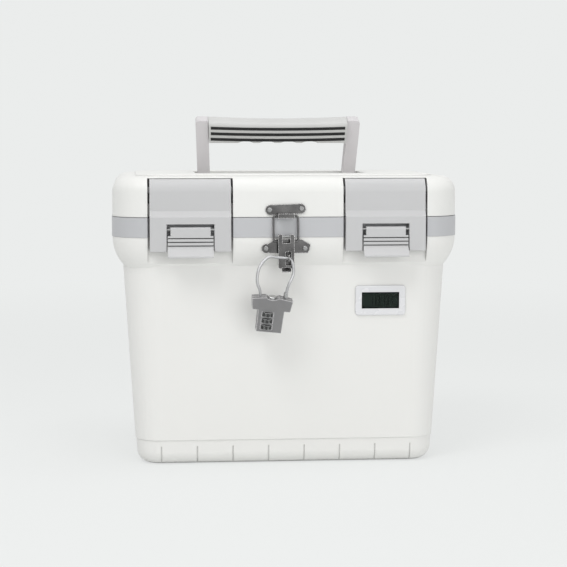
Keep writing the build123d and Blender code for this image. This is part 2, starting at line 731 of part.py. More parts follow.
with BuildPart() as lid_shell:
    add(lid_block(0.0, LID_BOTTOM))
    add(rounded_block(DECK_WIDTH, DECK_DEPTH, DECK_RADIUS, LID_TOP - LID_WALL, DECK_TOP))
    fillet(lid_shell.faces().sort_by(Axis.Z)[-1].edges(), radius=DECK_FILLET)
    add(lid_room(LID_WALL, LID_BOTTOM - CLEAR), mode=Mode.SUBTRACT)
    add(lid_pocket(0.0), mode=Mode.SUBTRACT)
    add(lid_tray(0.0), mode=Mode.SUBTRACT)
    stop_low = DECK_TOP - STOP_HEIGHT
    for side in (-1, 1):
        stop_x = side * (HANDLE_FOOT_WIDTH - HANDLE_ARM_WIDTH) / 2
        stop_outline = (
            (TRAY_REAR + LID_WALL, stop_low),
            (TRAY_REAR + LID_WALL, DECK_TOP),
            (arm_back_y(DECK_TOP) + STOP_GAP, DECK_TOP),
            (arm_back_y(stop_low) + STOP_GAP, stop_low),
        )
        add(side_profile(stop_outline, stop_x - HANDLE_ARM_WIDTH / 2, stop_x + HANDLE_ARM_WIDTH / 2))
        pin_wall = side * TRAY_HALF
        add(
            cross_rod(
                HANDLE_PIN_RADIUS + HANDLE_PIN_FIT,
                min(pin_wall, pin_wall + side * LID_WALL) - CLEAR / 2,
                max(pin_wall, pin_wall + side * LID_WALL) + CLEAR / 2,
                HANDLE_PIVOT_Y,
                HANDLE_PIVOT_Z,
            ),
            mode=Mode.SUBTRACT,
        )
        flap_pin_half = SLOT_WIDTH / 2 + LID_WALL
        add(
            cross_rod(
                FLAP_PIN_RADIUS + FLAP_PIN_FIT,
                side * SLOT_CENTRE - flap_pin_half - CLEAR / 2,
                side * SLOT_CENTRE + flap_pin_half + CLEAR / 2,
                PIVOT_Y,
                PIVOT_Z,
            ),
            mode=Mode.SUBTRACT,
        )
    for hinge_x in HINGE_XS:
        half = LID_KNUCKLE_LENGTH / 2
        web_top = HINGE_Z + HINGE_WEB_HEIGHT
        add(knuckle(hinge_x - half, hinge_x + half, BACK - LID_WALL / 2, LID_BOTTOM, web_top))
    with BuildSketch(KEEPER_PLANE):
        with GridLocations(KEEPER_RIVET_SPACING, 1, 2, 1):
            Circle(RIVET_SHANK_RADIUS + RIVET_FIT)
    extrude(amount=-LID_WALL - CLEAR, mode=Mode.SUBTRACT)
export_piece(lid_shell, "lid_shell")

LINER_PLATE_TOP = LID_BOTTOM + LINER_WALL
PLUG_BOTTOM = LID_BOTTOM - PLUG_DEPTH


def lid_plug(inset, low, high):
    """Part of the lid underside that drops into the mouth of the chamber."""
    return drafted_block(low, high, CHAMBER_INSET + PLUG_CLEARANCE + inset, LINER_CORNER - LINER_WALL)


def gasket_ring(clearance, low, high):
    """Seal path round the plug, over the rim landing."""
    mid_inset = CHAMBER_INSET - RIM_LANDING / 2
    outer = GASKET_WIDTH / 2 + clearance
    with BuildPart() as ring:
        width, depth, corner = body_plan(RIM_TOP, mid_inset, LINER_CORNER)
        add(rounded_block(width + 2 * outer, depth + 2 * outer, corner + outer, low, high))
        add(
            rounded_block(width - 2 * outer, depth - 2 * outer, corner - outer, low - CLEAR, high + CLEAR),
            mode=Mode.SUBTRACT,
        )
    return ring.part


with BuildPart() as lid_liner:
    add(lid_room(LID_WALL + FOAM_CLEARANCE, LID_BOTTOM))
    split(bisect_by=Plane.XY.offset(LINER_PLATE_TOP), keep=Keep.BOTTOM)
    add(lid_plug(0.0, PLUG_BOTTOM, LINER_PLATE_TOP))
    add(
        lid_plug(LINER_WALL, PLUG_BOTTOM + LINER_WALL, LINER_PLATE_TOP + CLEAR),
        mode=Mode.SUBTRACT,
    )
    groove_top = LID_BOTTOM - GASKET_PROUD + GASKET_HEIGHT
    add(gasket_ring(GASKET_SIDE_CLEARANCE, LID_BOTTOM - CLEAR, groove_top), mode=Mode.SUBTRACT)
export_piece(lid_liner, "lid_liner")

with BuildPart() as lid_gasket:
    add(gasket_ring(0.0, LID_BOTTOM - GASKET_PROUD, LID_BOTTOM - GASKET_PROUD + GASKET_HEIGHT))
export_piece(lid_gasket, "lid_gasket")

with BuildPart() as lid_insulation:
    add(lid_room(LID_WALL + FOAM_CLEARANCE, LINER_PLATE_TOP))
    add(
        lid_plug(LINER_WALL + FOAM_CLEARANCE, PLUG_BOTTOM + LINER_WALL, LINER_PLATE_TOP + CLEAR),
    )
export_piece(lid_insulation, "lid_insulation")

with BuildPart() as flap_pins:
    for side in (-1, 1):
        pin_reach = SLOT_WIDTH / 2 + LID_WALL
        centre = side * SLOT_CENTRE
        add(cross_rod(FLAP_PIN_RADIUS, centre - pin_reach, centre + pin_reach, PIVOT_Y, PIVOT_Z))
export_piece(flap_pins, "flap_pins")

# ---------------------------------------------------------------- side latches

FLAP_FACE = FRONT - FLAP_PROUD
FLAP_INNER = FLAP_FACE + FLAP_SKIN
LEVER_PIVOT_Y = FLAP_FACE + FLAP_SKIN / 2
LEVER_FACE = FLAP_FACE - LEVER_PROUD
LEVER_BACK = LEVER_FACE + LEVER_THICKNESS
TIP_ANGLE = asin((FLAP_TIP_Z - ARC_Z) / LID_EDGE_RADIUS) / 2


def latch_flap(centre):
    """Latch flap: follows the lid's rounded edge, then stands proud over the rim; window below."""
    half = FLAP_WIDTH / 2
    root = PIVOT_Y - FLAP_BARREL_RADIUS
    with BuildPart() as flap:
        with BuildSketch(Plane.YZ.offset(centre - half)):
            with BuildLine():
                arc_middle = (
                    ARC_Y - LID_EDGE_RADIUS * cos(TIP_ANGLE),
                    ARC_Z + LID_EDGE_RADIUS * sin(TIP_ANGLE),
                )
                ThreePointArc((FLAP_TIP_Y, FLAP_TIP_Z), arc_middle, (FRONT, ARC_Z))
                Polyline(
                    (FRONT, ARC_Z),
                    (FRONT, FLAP_CREASE_TOP),
                    (FLAP_FACE, FLAP_CREASE_BOTTOM),
                    (FLAP_FACE, FLAP_BOTTOM),
                    (FLAP_INNER, FLAP_BOTTOM),
                    (FLAP_INNER, FLAP_CREASE_BOTTOM),
                    (root, FLAP_CREASE_TOP),
                    (root, PIVOT_Z),
                    (PIVOT_Y, PIVOT_Z + FLAP_BARREL_RADIUS),
                    (PIVOT_Y, FLAP_TIP_Z),
                    (FLAP_TIP_Y, FLAP_TIP_Z),
                )
            make_face()
        extrude(amount=FLAP_WIDTH)
        add(cross_rod(FLAP_BARREL_RADIUS, centre - half, centre + half, PIVOT_Y, PIVOT_Z))
        add(
            ruled_box(
                centre - WINDOW_WIDTH / 2,
                centre + WINDOW_WIDTH / 2,
                FLAP_FACE - CLEAR,
                FLAP_INNER + CLEAR,
                FLAP_BOTTOM - CLEAR,
                WINDOW_TOP,
            ),
            mode=Mode.SUBTRACT,
        )
        fillet(
            flap.edges().filter_by(Axis.Z).filter_by_position(Axis.Y, FLAP_FACE - 0.1, FLAP_FACE + 0.1),
            radius=FLAP_EDGE_FILLET,
        )
        rib_top = FLAP_CREASE_BOTTOM - CLEAR
        for rib_low in (-half, -WINDOW_WIDTH / 2 - FLAP_RIB, WINDOW_WIDTH / 2, half - FLAP_RIB):
            add(
                ruled_box(
                    centre + rib_low,
                    centre + rib_low + FLAP_RIB,
                    FLAP_INNER - CLEAR,
                    FLAP_INNER + FLAP_RIB_DEPTH,
                    FLAP_BOTTOM + CLEAR,
                    rib_top,
                )
            )
        boss_reach = SLOT_WIDTH / 2 - FLAP_BOSS_GAP
        add(cross_rod(FLAP_BOSS_RADIUS, centre - boss_reach, centre + boss_reach, PIVOT_Y, PIVOT_Z))
        add(
            cross_rod(
                FLAP_PIN_RADIUS + FLAP_PIN_FIT,
                centre - boss_reach - CLEAR,
                centre + boss_reach + CLEAR,
                PIVOT_Y,
                PIVOT_Z,
            ),
            mode=Mode.SUBTRACT,
        )
        pin_reach = WINDOW_WIDTH / 2 + LEVER_PIN_EMBED
        add(
            cross_rod(
                LEVER_PIN_RADIUS + LEVER_PIN_FIT,
                centre - pin_reach,
                centre + pin_reach,
                LEVER_PIVOT_Y,
                LEVER_PIVOT_Z,
            ),
            mode=Mode.SUBTRACT,
        )
    return flap


def latch_lever(centre):
    """Finger lever in the flap's window, with the hook that holds under the body's catch."""
    lip_front = LEVER_FACE - LEVER_LIP_REACH
    with BuildPart() as lever:
        with BuildSketch(Plane.YZ.offset(centre - LEVER_NARROW_WIDTH / 2)) as stem:
            with BuildLine():
                Polyline(
                    (LEVER_FACE, LEVER_SHOULDER - CLEAR),
                    (LEVER_FACE, LEVER_TOP),
                    (LEVER_BACK, LEVER_TOP),
                    (LEVER_BACK, LEVER_SHOULDER - CLEAR),
                    close=True,
                )
            make_face()
            fillet(stem.vertices().group_by(Axis.Y)[-1], radius=LEVER_BACK_RADIUS)
        extrude(amount=LEVER_NARROW_WIDTH)
        lever_outline = (
            (LEVER_FACE, LEVER_SHOULDER),
            (LEVER_FACE, LEVER_LIP_TOP),
            (lip_front, LEVER_BOTTOM + LEVER_LIP_THICKNESS / 2),
            (lip_front, LEVER_BOTTOM),
            (lip_front + LEVER_LIP_THICKNESS, LEVER_BOTTOM),
            (LEVER_BACK, LEVER_LIP_TOP - LEVER_LIP_THICKNESS),
            (LEVER_BACK, LEVER_SHOULDER),
        )
        add(side_profile(lever_outline, centre - LEVER_WIDE_WIDTH / 2, centre + LEVER_WIDE_WIDTH / 2))
        for groove_z in LEVER_GROOVES:
            add(
                ruled_box(
                    centre - LEVER_WIDE_WIDTH / 2 - CLEAR,
                    centre + LEVER_WIDE_WIDTH / 2 + CLEAR,
                    LEVER_FACE - CLEAR,
                    LEVER_FACE + LEVER_GROOVE_DEPTH,
                    groove_z - LEVER_GROOVE_HEIGHT / 2,
                    groove_z + LEVER_GROOVE_HEIGHT / 2,
                ),
                mode=Mode.SUBTRACT,
            )
        hook_top = CATCH_BOTTOM - CATCH_GAP
        hook_outline = (
            (LEVER_BACK - CLEAR, hook_top - HOOK_HEIGHT),
            (LEVER_BACK - CLEAR, hook_top),
            (RECESS_BACK - HOOK_END_GAP, hook_top),
            (RECESS_BACK - HOOK_END_GAP, hook_top - HOOK_HEIGHT / 2),
            (LEVER_BACK + CLEAR, hook_top - HOOK_HEIGHT),
        )
        add(side_profile(hook_outline, centre - HOOK_WIDTH / 2, centre + HOOK_WIDTH / 2))
        add(
            cross_rod(
                LEVER_PIN_RADIUS + LEVER_PIN_FIT,
                centre - LEVER_NARROW_WIDTH,
                centre + LEVER_NARROW_WIDTH,
                LEVER_PIVOT_Y,
                LEVER_PIVOT_Z,
            ),
            mode=Mode.SUBTRACT,
        )
    return lever


for side_name, side in (("left", -1), ("right", 1)):
    centre = side * SLOT_CENTRE
    export_piece(latch_flap(centre), f"latch_flap_{side_name}")
    export_piece(latch_lever(centre), f"latch_lever_{side_name}")
    with BuildPart() as lever_pin:
        pin_low = centre - WINDOW_WIDTH / 2 - LEVER_PIN_EMBED
        pin_high = centre + WINDOW_WIDTH / 2 + LEVER_PIN_EMBED
        add(cross_rod(LEVER_PIN_RADIUS, pin_low, pin_high, LEVER_PIVOT_Y, LEVER_PIVOT_Z))
    export_piece(lever_pin, f"lever_pin_{side_name}")

# ---------------------------------------------------------------- handle

HANDLE_PLANE = leaning_plane(0.0, HANDLE_PIVOT_Y, HANDLE_PIVOT_Z, HANDLE_LEAN)
TOP_HALF = HANDLE_TOP_WIDTH / 2
FOOT_HALF = HANDLE_FOOT_WIDTH / 2
ARM_SPLAY = (TOP_HALF - FOOT_HALF) / HANDLE_LENGTH


def arm_inner(along):
    """Half the clear width between the arms, at a distance along them from the pivot."""
    return FOOT_HALF + ARM_SPLAY * along - HANDLE_ARM_WIDTH


with BuildPart() as handle_frame:
    with BuildSketch(HANDLE_PLANE.offset(HANDLE_ARM_THICKNESS / 2)) as arm_face:
        for side in (-1, 1):
            with BuildLine():
                Polyline(
                    (side * (FOOT_HALF - HANDLE_ARM_WIDTH), 0),
                    (side * FOOT_HALF, 0),
                    (side * TOP_HALF, HANDLE_LENGTH),
                    (side * (TOP_HALF - HANDLE_ARM_WIDTH), HANDLE_LENGTH),
                    close=True,
                )
            make_face()
        tips = arm_face.vertices().group_by(Axis.Y)[-1].sort_by(Axis.X)
        fillet([tips[0], tips[-1]], radius=HANDLE_TIP_RADIUS)
    extrude(amount=-HANDLE_ARM_THICKNESS)
    for side in (-1, 1):
        foot_low = min(side * FOOT_HALF, side * (FOOT_HALF - HANDLE_ARM_WIDTH))
        foot_high = foot_low + HANDLE_ARM_WIDTH
        add(cross_rod(HANDLE_ARM_THICKNESS / 2, foot_low, foot_high, HANDLE_PIVOT_Y, HANDLE_PIVOT_Z))
    with BuildSketch(HANDLE_PLANE.offset(TIE_BAR_THICKNESS / 2)):
        with Locations((0, TIE_BAR_Z)):
            Rectangle(2 * arm_inner(TIE_BAR_Z) + HANDLE_ARM_WIDTH, TIE_BAR_HEIGHT)
    extrude(amount=-TIE_BAR_THICKNESS)
    add(
        cross_rod(
            HANDLE_PIN_RADIUS + HANDLE_PIN_FIT,
            -WIDEST_HALF - CLEAR,
            WIDEST_HALF + CLEAR,
            HANDLE_PIVOT_Y,
            HANDLE_PIVOT_Z,
        ),
        mode=Mode.SUBTRACT,
    )
export_piece(handle_frame, "handle_frame")


def inlay_strips(seat, amount):
    """The grip's three bowed strips, raised from a seat plane by an amount."""
    half = INLAY_LENGTH / 2
    with BuildPart() as strips:
        for index in range(INLAY_COUNT):
            high = INLAY_TOP - index * INLAY_PITCH + INLAY_HEIGHT / 2
            low = high - INLAY_HEIGHT
            with BuildSketch(seat):
                with BuildLine():
                    ThreePointArc((-half, high), (0, high - INLAY_SAG), (half, high))
                    Line((half, high), (half, low))
                    ThreePointArc((half, low), (0, low - INLAY_SAG), (-half, low))
                    Line((-half, low), (-half, high))
                make_face()
            extrude(amount=amount)
    return strips.part


GRIP_LOW_HALF = arm_inner(GRIP_BOTTOM) - GRIP_END_GAP
GRIP_HIGH_HALF = arm_inner(GRIP_TOP) - GRIP_END_GAP

with BuildPart() as handle_grip:
    with BuildSketch(HANDLE_PLANE.offset(GRIP_THICKNESS / 2)):
        with BuildLine():
            Polyline(
                (GRIP_HIGH_HALF, GRIP_TOP),
                (GRIP_LOW_HALF, GRIP_BOTTOM),
                (-GRIP_LOW_HALF, GRIP_BOTTOM),
                (-GRIP_HIGH_HALF, GRIP_TOP),
            )
            ThreePointArc((-GRIP_HIGH_HALF, GRIP_TOP), (0, GRIP_TOP - GRIP_SAG), (GRIP_HIGH_HALF, GRIP_TOP))
        make_face()
        with Locations((0, GRIP_BOTTOM + SCALLOP_DEPTH - SCALLOP_RADIUS)):
            with GridLocations(SCALLOP_PITCH, 1, SCALLOP_COUNT, 1):
                Circle(SCALLOP_RADIUS, mode=Mode.SUBTRACT)
    extrude(amount=-GRIP_THICKNESS)
    top_edges = handle_grip.edges().filter_by(GeomType.CIRCLE).filter_by(
        lambda edge: edge.radius > 10 * SCALLOP_RADIUS
    )
    fillet(top_edges, radius=GRIP_FILLET)
    with BuildSketch(HANDLE_PLANE.offset(TIE_BAR_THICKNESS / 2 + TIE_BAR_CLEARANCE)):
        with Locations((0, TIE_BAR_Z)):
            Rectangle(HANDLE_TOP_WIDTH, TIE_BAR_HEIGHT + 2 * TIE_BAR_CLEARANCE)
    extrude(amount=-TIE_BAR_THICKNESS - 2 * TIE_BAR_CLEARANCE, mode=Mode.SUBTRACT)
    for outward in (1, -1):
        inlay_seat = HANDLE_PLANE.offset(outward * (GRIP_THICKNESS / 2 - INLAY_DEPTH))
        add(inlay_strips(inlay_seat, outward * (INLAY_DEPTH + CLEAR)), mode=Mode.SUBTRACT)
export_piece(handle_grip, "handle_grip")

with BuildPart() as grip_inlays:
    for outward in (1, -1):
        inlay_seat = HANDLE_PLANE.offset(outward * (GRIP_THICKNESS / 2 - INLAY_DEPTH))
        add(inlay_strips(inlay_seat, outward * (INLAY_DEPTH + INLAY_PROUD)))
export_piece(grip_inlays, "grip_inlays")

with BuildPart() as handle_pins:
    for side in (-1, 1):
        inner_end = side * (FOOT_HALF - HANDLE_ARM_WIDTH)
        outer_end = side * (TRAY_HALF + LID_WALL)
        add(
            cross_rod(
                HANDLE_PIN_RADIUS,
                min(inner_end, outer_end),
                max(inner_end, outer_end),
                HANDLE_PIVOT_Y,
                HANDLE_PIVOT_Z,
            )
        )
export_piece(handle_pins, "handle_pins")

# ---------------------------------------------------------------- draw latch

PLATE_FACE = FRONT - SHEET
FULCRUM_Y = PLATE_FACE - FULCRUM_OUT
DRAW_BACK = FULCRUM_Y - DRAW_FACE_OUT
DRAW_FACE = DRAW_BACK - LEVER_SHEET
EYE_Y = PLATE_FACE - EYE_OUT
EYE_X = CLASP_X + EYE_OFFSET
BAIL_PIVOT_Y = FULCRUM_Y + BAIL_PIVOT_BACK
BAIL_PIVOT_Z = FULCRUM_Z - BAIL_PIVOT_DROP
BAIL_TOP_Y = BAIL_PIVOT_Y + BAIL_TOP_BACK
LOBE_XS = (CLASP_X - CLASP_LOBE_SPACING / 2, CLASP_X + CLASP_LOBE_SPACING / 2)

with BuildPart() as clasp_base:
    add(butterfly(FRONT, SHEET))
    for side in (-1, 1):
        ear_x = CLASP_X + side * EAR_SPACING / 2
        ear_outline = (
            (FRONT - SHEET / 2, CLASP_PLATE_TOP),
            (PLATE_FACE, CLASP_PLATE_TOP),
            (FULCRUM_Y, FULCRUM_Z + EAR_RADIUS),
            (FULCRUM_Y - EAR_RADIUS, FULCRUM_Z),
            (PLATE_FACE, CLASP_LOBE_Z),
            (FRONT - SHEET / 2, CLASP_LOBE_Z),
        )
        add(side_profile(ear_outline, ear_x - SHEET / 2, ear_x + SHEET / 2))
        add(cross_rod(EAR_RADIUS, ear_x - SHEET / 2, ear_x + SHEET / 2, FULCRUM_Y, FULCRUM_Z))
    add(cross_rod(EYE_RADIUS, EYE_X - EYE_SHEET / 2, EYE_X + EYE_SHEET / 2, EYE_Y, EYE_Z))
    add(
        ruled_box(
            EYE_X - EYE_SHEET / 2,
            EYE_X + EYE_SHEET / 2,
            EYE_Y,
            PLATE_FACE + SHEET / 2,
            EYE_Z - EYE_BORE,
            EYE_Z + EYE_BORE,
        )
    )
    add(
        cross_rod(EYE_BORE, EYE_X - EYE_SHEET, EYE_X + EYE_SHEET, EYE_Y, EYE_Z),
        mode=Mode.SUBTRACT,
    )
    add(
        cross_rod(
            FULCRUM_PIN_RADIUS + FULCRUM_PIN_FIT,
            CLASP_X - DRAW_WIDTH,
            CLASP_X + DRAW_WIDTH,
            FULCRUM_Y,
            FULCRUM_Z,
        ),
        mode=Mode.SUBTRACT,
    )
    with BuildSketch(Plane.XZ.offset(-FRONT)):
        with Locations(*[(x, CLASP_LOBE_Z) for x in LOBE_XS]):
            Circle(RIVET_SHANK_RADIUS + RIVET_FIT)
    extrude(amount=SHEET, mode=Mode.SUBTRACT)
export_piece(clasp_base, "clasp_base")

with BuildPart() as clasp_rivets:
    with BuildSketch(Plane.XZ.offset(-FRONT - RIVET_GRIP)):
        with Locations(*[(x, CLASP_LOBE_Z) for x in LOBE_XS]):
            Circle(RIVET_SHANK_RADIUS)
    extrude(amount=RIVET_GRIP + SHEET)
    with BuildSketch(Plane.XZ.offset(-PLATE_FACE)):
        with Locations(*[(x, CLASP_LOBE_Z) for x in LOBE_XS]):
            Circle(RIVET_HEAD_RADIUS)
    extrude(amount=RIVET_HEAD_HEIGHT)
    fillet(clasp_rivets.faces().group_by(Axis.Y)[0].edges(), radius=RIVET_HEAD_HEIGHT * RIVET_ROUNDING)
export_piece(clasp_rivets, "clasp_rivets")

with BuildPart() as keeper_plate:
    with BuildSketch(KEEPER_PLANE):
        SlotOverall(KEEPER_LENGTH, KEEPER_HEIGHT)
    extrude(amount=SHEET)
    hook_floor = KEEPER_HOOK_BOTTOM + KEEPER_HOOK_SHEET
    hook_back = PLATE_FACE - KEEPER_HOOK_GAP
    hook_front = hook_back - KEEPER_HOOK_SHEET
    hook_outline = (
        (FRONT - SHEET / 6, KEEPER_Z),
        (PLATE_FACE, KEEPER_Z),
        (PLATE_FACE, hook_floor),
        (hook_back, hook_floor),
        (hook_back, KEEPER_HOOK_TOP),
        (hook_front, KEEPER_HOOK_TOP),
        (hook_front, KEEPER_HOOK_BOTTOM),
        (PLATE_FACE + SHEET / 3, KEEPER_HOOK_BOTTOM),
        (PLATE_FACE + SHEET / 3, LID_BOTTOM + LID_GAP),
        (FRONT - SHEET / 6, LID_BOTTOM + 2 * LID_GAP),
    )
    hook_low_x = CLASP_X - KEEPER_HOOK_WIDTH / 2
    add(side_profile(hook_outline, hook_low_x, hook_low_x + KEEPER_HOOK_WIDTH))
    with BuildSketch(KEEPER_PLANE):
        with GridLocations(KEEPER_RIVET_SPACING, 1, 2, 1):
            Circle(RIVET_SHANK_RADIUS + RIVET_FIT)
    extrude(amount=SHEET, mode=Mode.SUBTRACT)
export_piece(keeper_plate, "keeper_plate")

with BuildPart() as keeper_rivets:
    with BuildSketch(KEEPER_PLANE.offset(-LID_WALL)):
        with GridLocations(KEEPER_RIVET_SPACING, 1, 2, 1):
            Circle(RIVET_SHANK_RADIUS)
    extrude(amount=LID_WALL + SHEET)
    with BuildSketch(KEEPER_PLANE.offset(SHEET)):
        with GridLocations(KEEPER_RIVET_SPACING, 1, 2, 1):
            Circle(RIVET_HEAD_RADIUS)
    extrude(amount=RIVET_HEAD_HEIGHT)
    fillet(keeper_rivets.faces().group_by(Axis.Y)[0].edges(), radius=RIVET_HEAD_HEIGHT * RIVET_ROUNDING)
export_piece(keeper_rivets, "keeper_rivets")

CHEEK_OUTER = DRAW_WIDTH / 2
CHEEK_INNER = CHEEK_OUTER - LEVER_SHEET

with BuildPart() as draw_lever:
    plate_top = FULCRUM_Z + EAR_RADIUS
    with BuildSketch(Plane.XZ.offset(-DRAW_BACK)):
        with Locations((CLASP_X, (plate_top + DRAW_BOTTOM) / 2)):
            RectangleRounded(DRAW_WIDTH, plate_top - DRAW_BOTTOM, EAR_RADIUS)
        with Locations((CLASP_X, (DRAW_WINDOW_BOTTOM + plate_top + EAR_RADIUS) / 2)):
            Rectangle(DRAW_WINDOW_WIDTH, plate_top + EAR_RADIUS - DRAW_WINDOW_BOTTOM, mode=Mode.SUBTRACT)
        with Locations((EYE_X, (DRAW_SLOT_TOP + DRAW_SLOT_BOTTOM) / 2)):
            Rectangle(DRAW_SLOT_WIDTH, DRAW_SLOT_TOP - DRAW_SLOT_BOTTOM, mode=Mode.SUBTRACT)
    extrude(amount=LEVER_SHEET)
    tip_outline = (
        (DRAW_BACK, DRAW_BOTTOM + LEVER_SHEET),
        (DRAW_FACE, DRAW_BOTTOM + LEVER_SHEET),
        (DRAW_FACE - DRAW_TIP_RADIUS, DRAW_BOTTOM - DRAW_TIP_LENGTH + LEVER_SHEET),
        (DRAW_FACE - DRAW_TIP_RADIUS, DRAW_BOTTOM - DRAW_TIP_LENGTH),
        (DRAW_BACK, DRAW_BOTTOM),
    )
    tip_half = DRAW_TIP_WIDTH / 2
    add(side_profile(tip_outline, CLASP_X - tip_half, CLASP_X + tip_half))
    for side in (-1, 1):
        cheek_outline = (
            (DRAW_BACK - LEVER_SHEET / 2, FULCRUM_Z),
            (DRAW_BACK, FULCRUM_Z + EAR_RADIUS / 2),
            (FULCRUM_Y, FULCRUM_Z + EAR_RADIUS),
            (FULCRUM_Y + EAR_RADIUS, FULCRUM_Z),
            (BAIL_PIVOT_Y + BAIL_PIVOT_BACK, BAIL_PIVOT_Z),
            (BAIL_PIVOT_Y, BAIL_PIVOT_Z - EAR_RADIUS),
            (DRAW_BACK - LEVER_SHEET / 2, BAIL_PIVOT_Z - 2 * EAR_RADIUS),
        )
        cheek_low = CLASP_X + min(side * CHEEK_INNER, side * CHEEK_OUTER)
        add(side_profile(cheek_outline, cheek_low, cheek_low + LEVER_SHEET))
    add(
        cross_rod(
            FULCRUM_PIN_RADIUS + FULCRUM_PIN_FIT,
            CLASP_X - DRAW_WIDTH,
            CLASP_X + DRAW_WIDTH,
            FULCRUM_Y,
            FULCRUM_Z,
        ),
        mode=Mode.SUBTRACT,
    )
    add(
        cross_rod(
            BAIL_WIRE_RADIUS + BAIL_FIT,
            CLASP_X - DRAW_WIDTH,
            CLASP_X + DRAW_WIDTH,
            BAIL_PIVOT_Y,
            BAIL_PIVOT_Z,
        ),
        mode=Mode.SUBTRACT,
    )
export_piece(draw_lever, "draw_lever")

with BuildPart() as fulcrum_pin:
    pin_half = CHEEK_OUTER + LEVER_SHEET / 2
    add(cross_rod(FULCRUM_PIN_RADIUS, CLASP_X - pin_half, CLASP_X + pin_half, FULCRUM_Y, FULCRUM_Z))
export_piece(fulcrum_pin, "fulcrum_pin")

with BuildPart() as bail_wire:
    leg_x = BAIL_WIDTH / 2 - BAIL_WIRE_RADIUS
    with BuildLine() as bail_path:
        FilletPolyline(
            (CLASP_X - CHEEK_INNER, BAIL_PIVOT_Y, BAIL_PIVOT_Z),
            (CLASP_X - leg_x, BAIL_PIVOT_Y, BAIL_PIVOT_Z),
            (CLASP_X - leg_x, BAIL_TOP_Y, BAIL_TOP_Z),
            (CLASP_X + leg_x, BAIL_TOP_Y, BAIL_TOP_Z),
            (CLASP_X + leg_x, BAIL_PIVOT_Y, BAIL_PIVOT_Z),
            (CLASP_X + CHEEK_INNER, BAIL_PIVOT_Y, BAIL_PIVOT_Z),
            radius=(BAIL_CORNER / 2, BAIL_CORNER, BAIL_CORNER, BAIL_CORNER / 2),
        )
    with BuildSketch(Plane(origin=bail_path.line @ 0, z_dir=bail_path.line % 0)):
        Circle(BAIL_WIRE_RADIUS)
    sweep()
export_piece(bail_wire, "bail_wire")

# ---------------------------------------------------------------- combination lock

LOCK_PLANE = leaning_plane(
    EYE_X - LOCK_HEM_LEFT, EYE_Y + LOCK_HEM_IN, EYE_Z - LOCK_HANG, LOCK_LEAN, LOCK_ROLL
)
HALF_LOCK = LOCK_THICKNESS / 2
SPINDLE_DEPTH = HALF_LOCK - DIAL_DEPTH
DIAL_HEIGHTS = [DIAL_LOWEST + index * DIAL_PITCH for index in range(3)]
NECK_LEVEL = LOCK_COLLAR_Z - LOCK_NECK_DIP
LOCK_SEAT = LOCK_SHOULDER_Z - CABLE_SEAT_DEPTH + CLEAR


def lock_cross_plane(across, up, out):
    """Plane square to the lock's long axis, at a place in the lock's own frame."""
    origin = LOCK_PLANE.from_local_coords((across, up, out))
    return Plane(origin=origin, x_dir=LOCK_PLANE.x_dir, z_dir=LOCK_PLANE.y_dir)


def lock_rod(radius, across, low, high, out=0.0):
    """Round rod along the lock's long axis."""
    with BuildPart() as rod:
        with BuildSketch(lock_cross_plane(across, low, out)):
            Circle(radius)
        extrude(amount=high - low)
    return rod.part


def lock_half(out_low, out_high):
    """Half of the shirt-shaped housing, between two depths, with its bores and dial rooms."""
    with BuildPart() as half:
        with BuildSketch(LOCK_PLANE.offset(out_low)):
            with BuildLine():
                Polyline(
                    (LOCK_NECK_WIDTH / 2, LOCK_COLLAR_Z),
                    (LOCK_SHOULDER_WIDTH / 2, LOCK_SHOULDER_Z),
                    (LOCK_CUFF_WIDTH / 2, LOCK_SLEEVE_Z),
                    (LOCK_CHEST_WIDTH / 2, LOCK_SLEEVE_Z),
                    (LOCK_HEM_WIDTH / 2, 0),
                    (-LOCK_HEM_WIDTH / 2, 0),
                    (-LOCK_CHEST_WIDTH / 2, LOCK_SLEEVE_Z),
                    (-LOCK_CUFF_WIDTH / 2, LOCK_SLEEVE_Z),
                    (-LOCK_SHOULDER_WIDTH / 2, LOCK_SHOULDER_Z),
                    (-LOCK_NECK_WIDTH / 2, LOCK_COLLAR_Z),
                )
                ThreePointArc(
                    (-LOCK_NECK_WIDTH / 2, LOCK_COLLAR_Z),
                    (0, NECK_LEVEL),
                    (LOCK_NECK_WIDTH / 2, LOCK_COLLAR_Z),
                )
            make_face()
        extrude(amount=out_high - out_low)
        for dial_z in DIAL_HEIGHTS:
            room = DIAL_THICKNESS / 2 + DIAL_CLEARANCE
            dial_room = lock_rod(
                DIAL_RADIUS + DIAL_CLEARANCE, DIAL_OFFSET, dial_z - room, dial_z + room, SPINDLE_DEPTH
            )
            add(dial_room, mode=Mode.SUBTRACT)
        spindle_low = DIAL_HEIGHTS[0] - DIAL_PITCH / 2 - SPINDLE_OVERHANG / 2
        spindle_high = DIAL_HEIGHTS[-1] + DIAL_PITCH / 2 + SPINDLE_OVERHANG
        add(
            lock_rod(SPINDLE_RADIUS + SPINDLE_FIT, DIAL_OFFSET, spindle_low, spindle_high, SPINDLE_DEPTH),
            mode=Mode.SUBTRACT,
        )
        button_floor = NECK_LEVEL - BUTTON_SHANK - BUTTON_TRAVEL - BUTTON_FIT
        add(
            lock_rod(BUTTON_RADIUS + BUTTON_FIT, 0.0, button_floor, LOCK_COLLAR_Z + CLEAR),
            mode=Mode.SUBTRACT,
        )
        for cable_x in (CABLE_LEFT, CABLE_RIGHT):
            add(
                lock_rod(CABLE_RADIUS + CABLE_HOLE_CLEARANCE, cable_x, LOCK_SEAT, LOCK_COLLAR_Z + CLEAR),
                mode=Mode.SUBTRACT,
            )
    return half


export_piece(lock_half(0.0, HALF_LOCK), "lock_front")
export_piece(lock_half(-HALF_LOCK, 0.0), "lock_back")

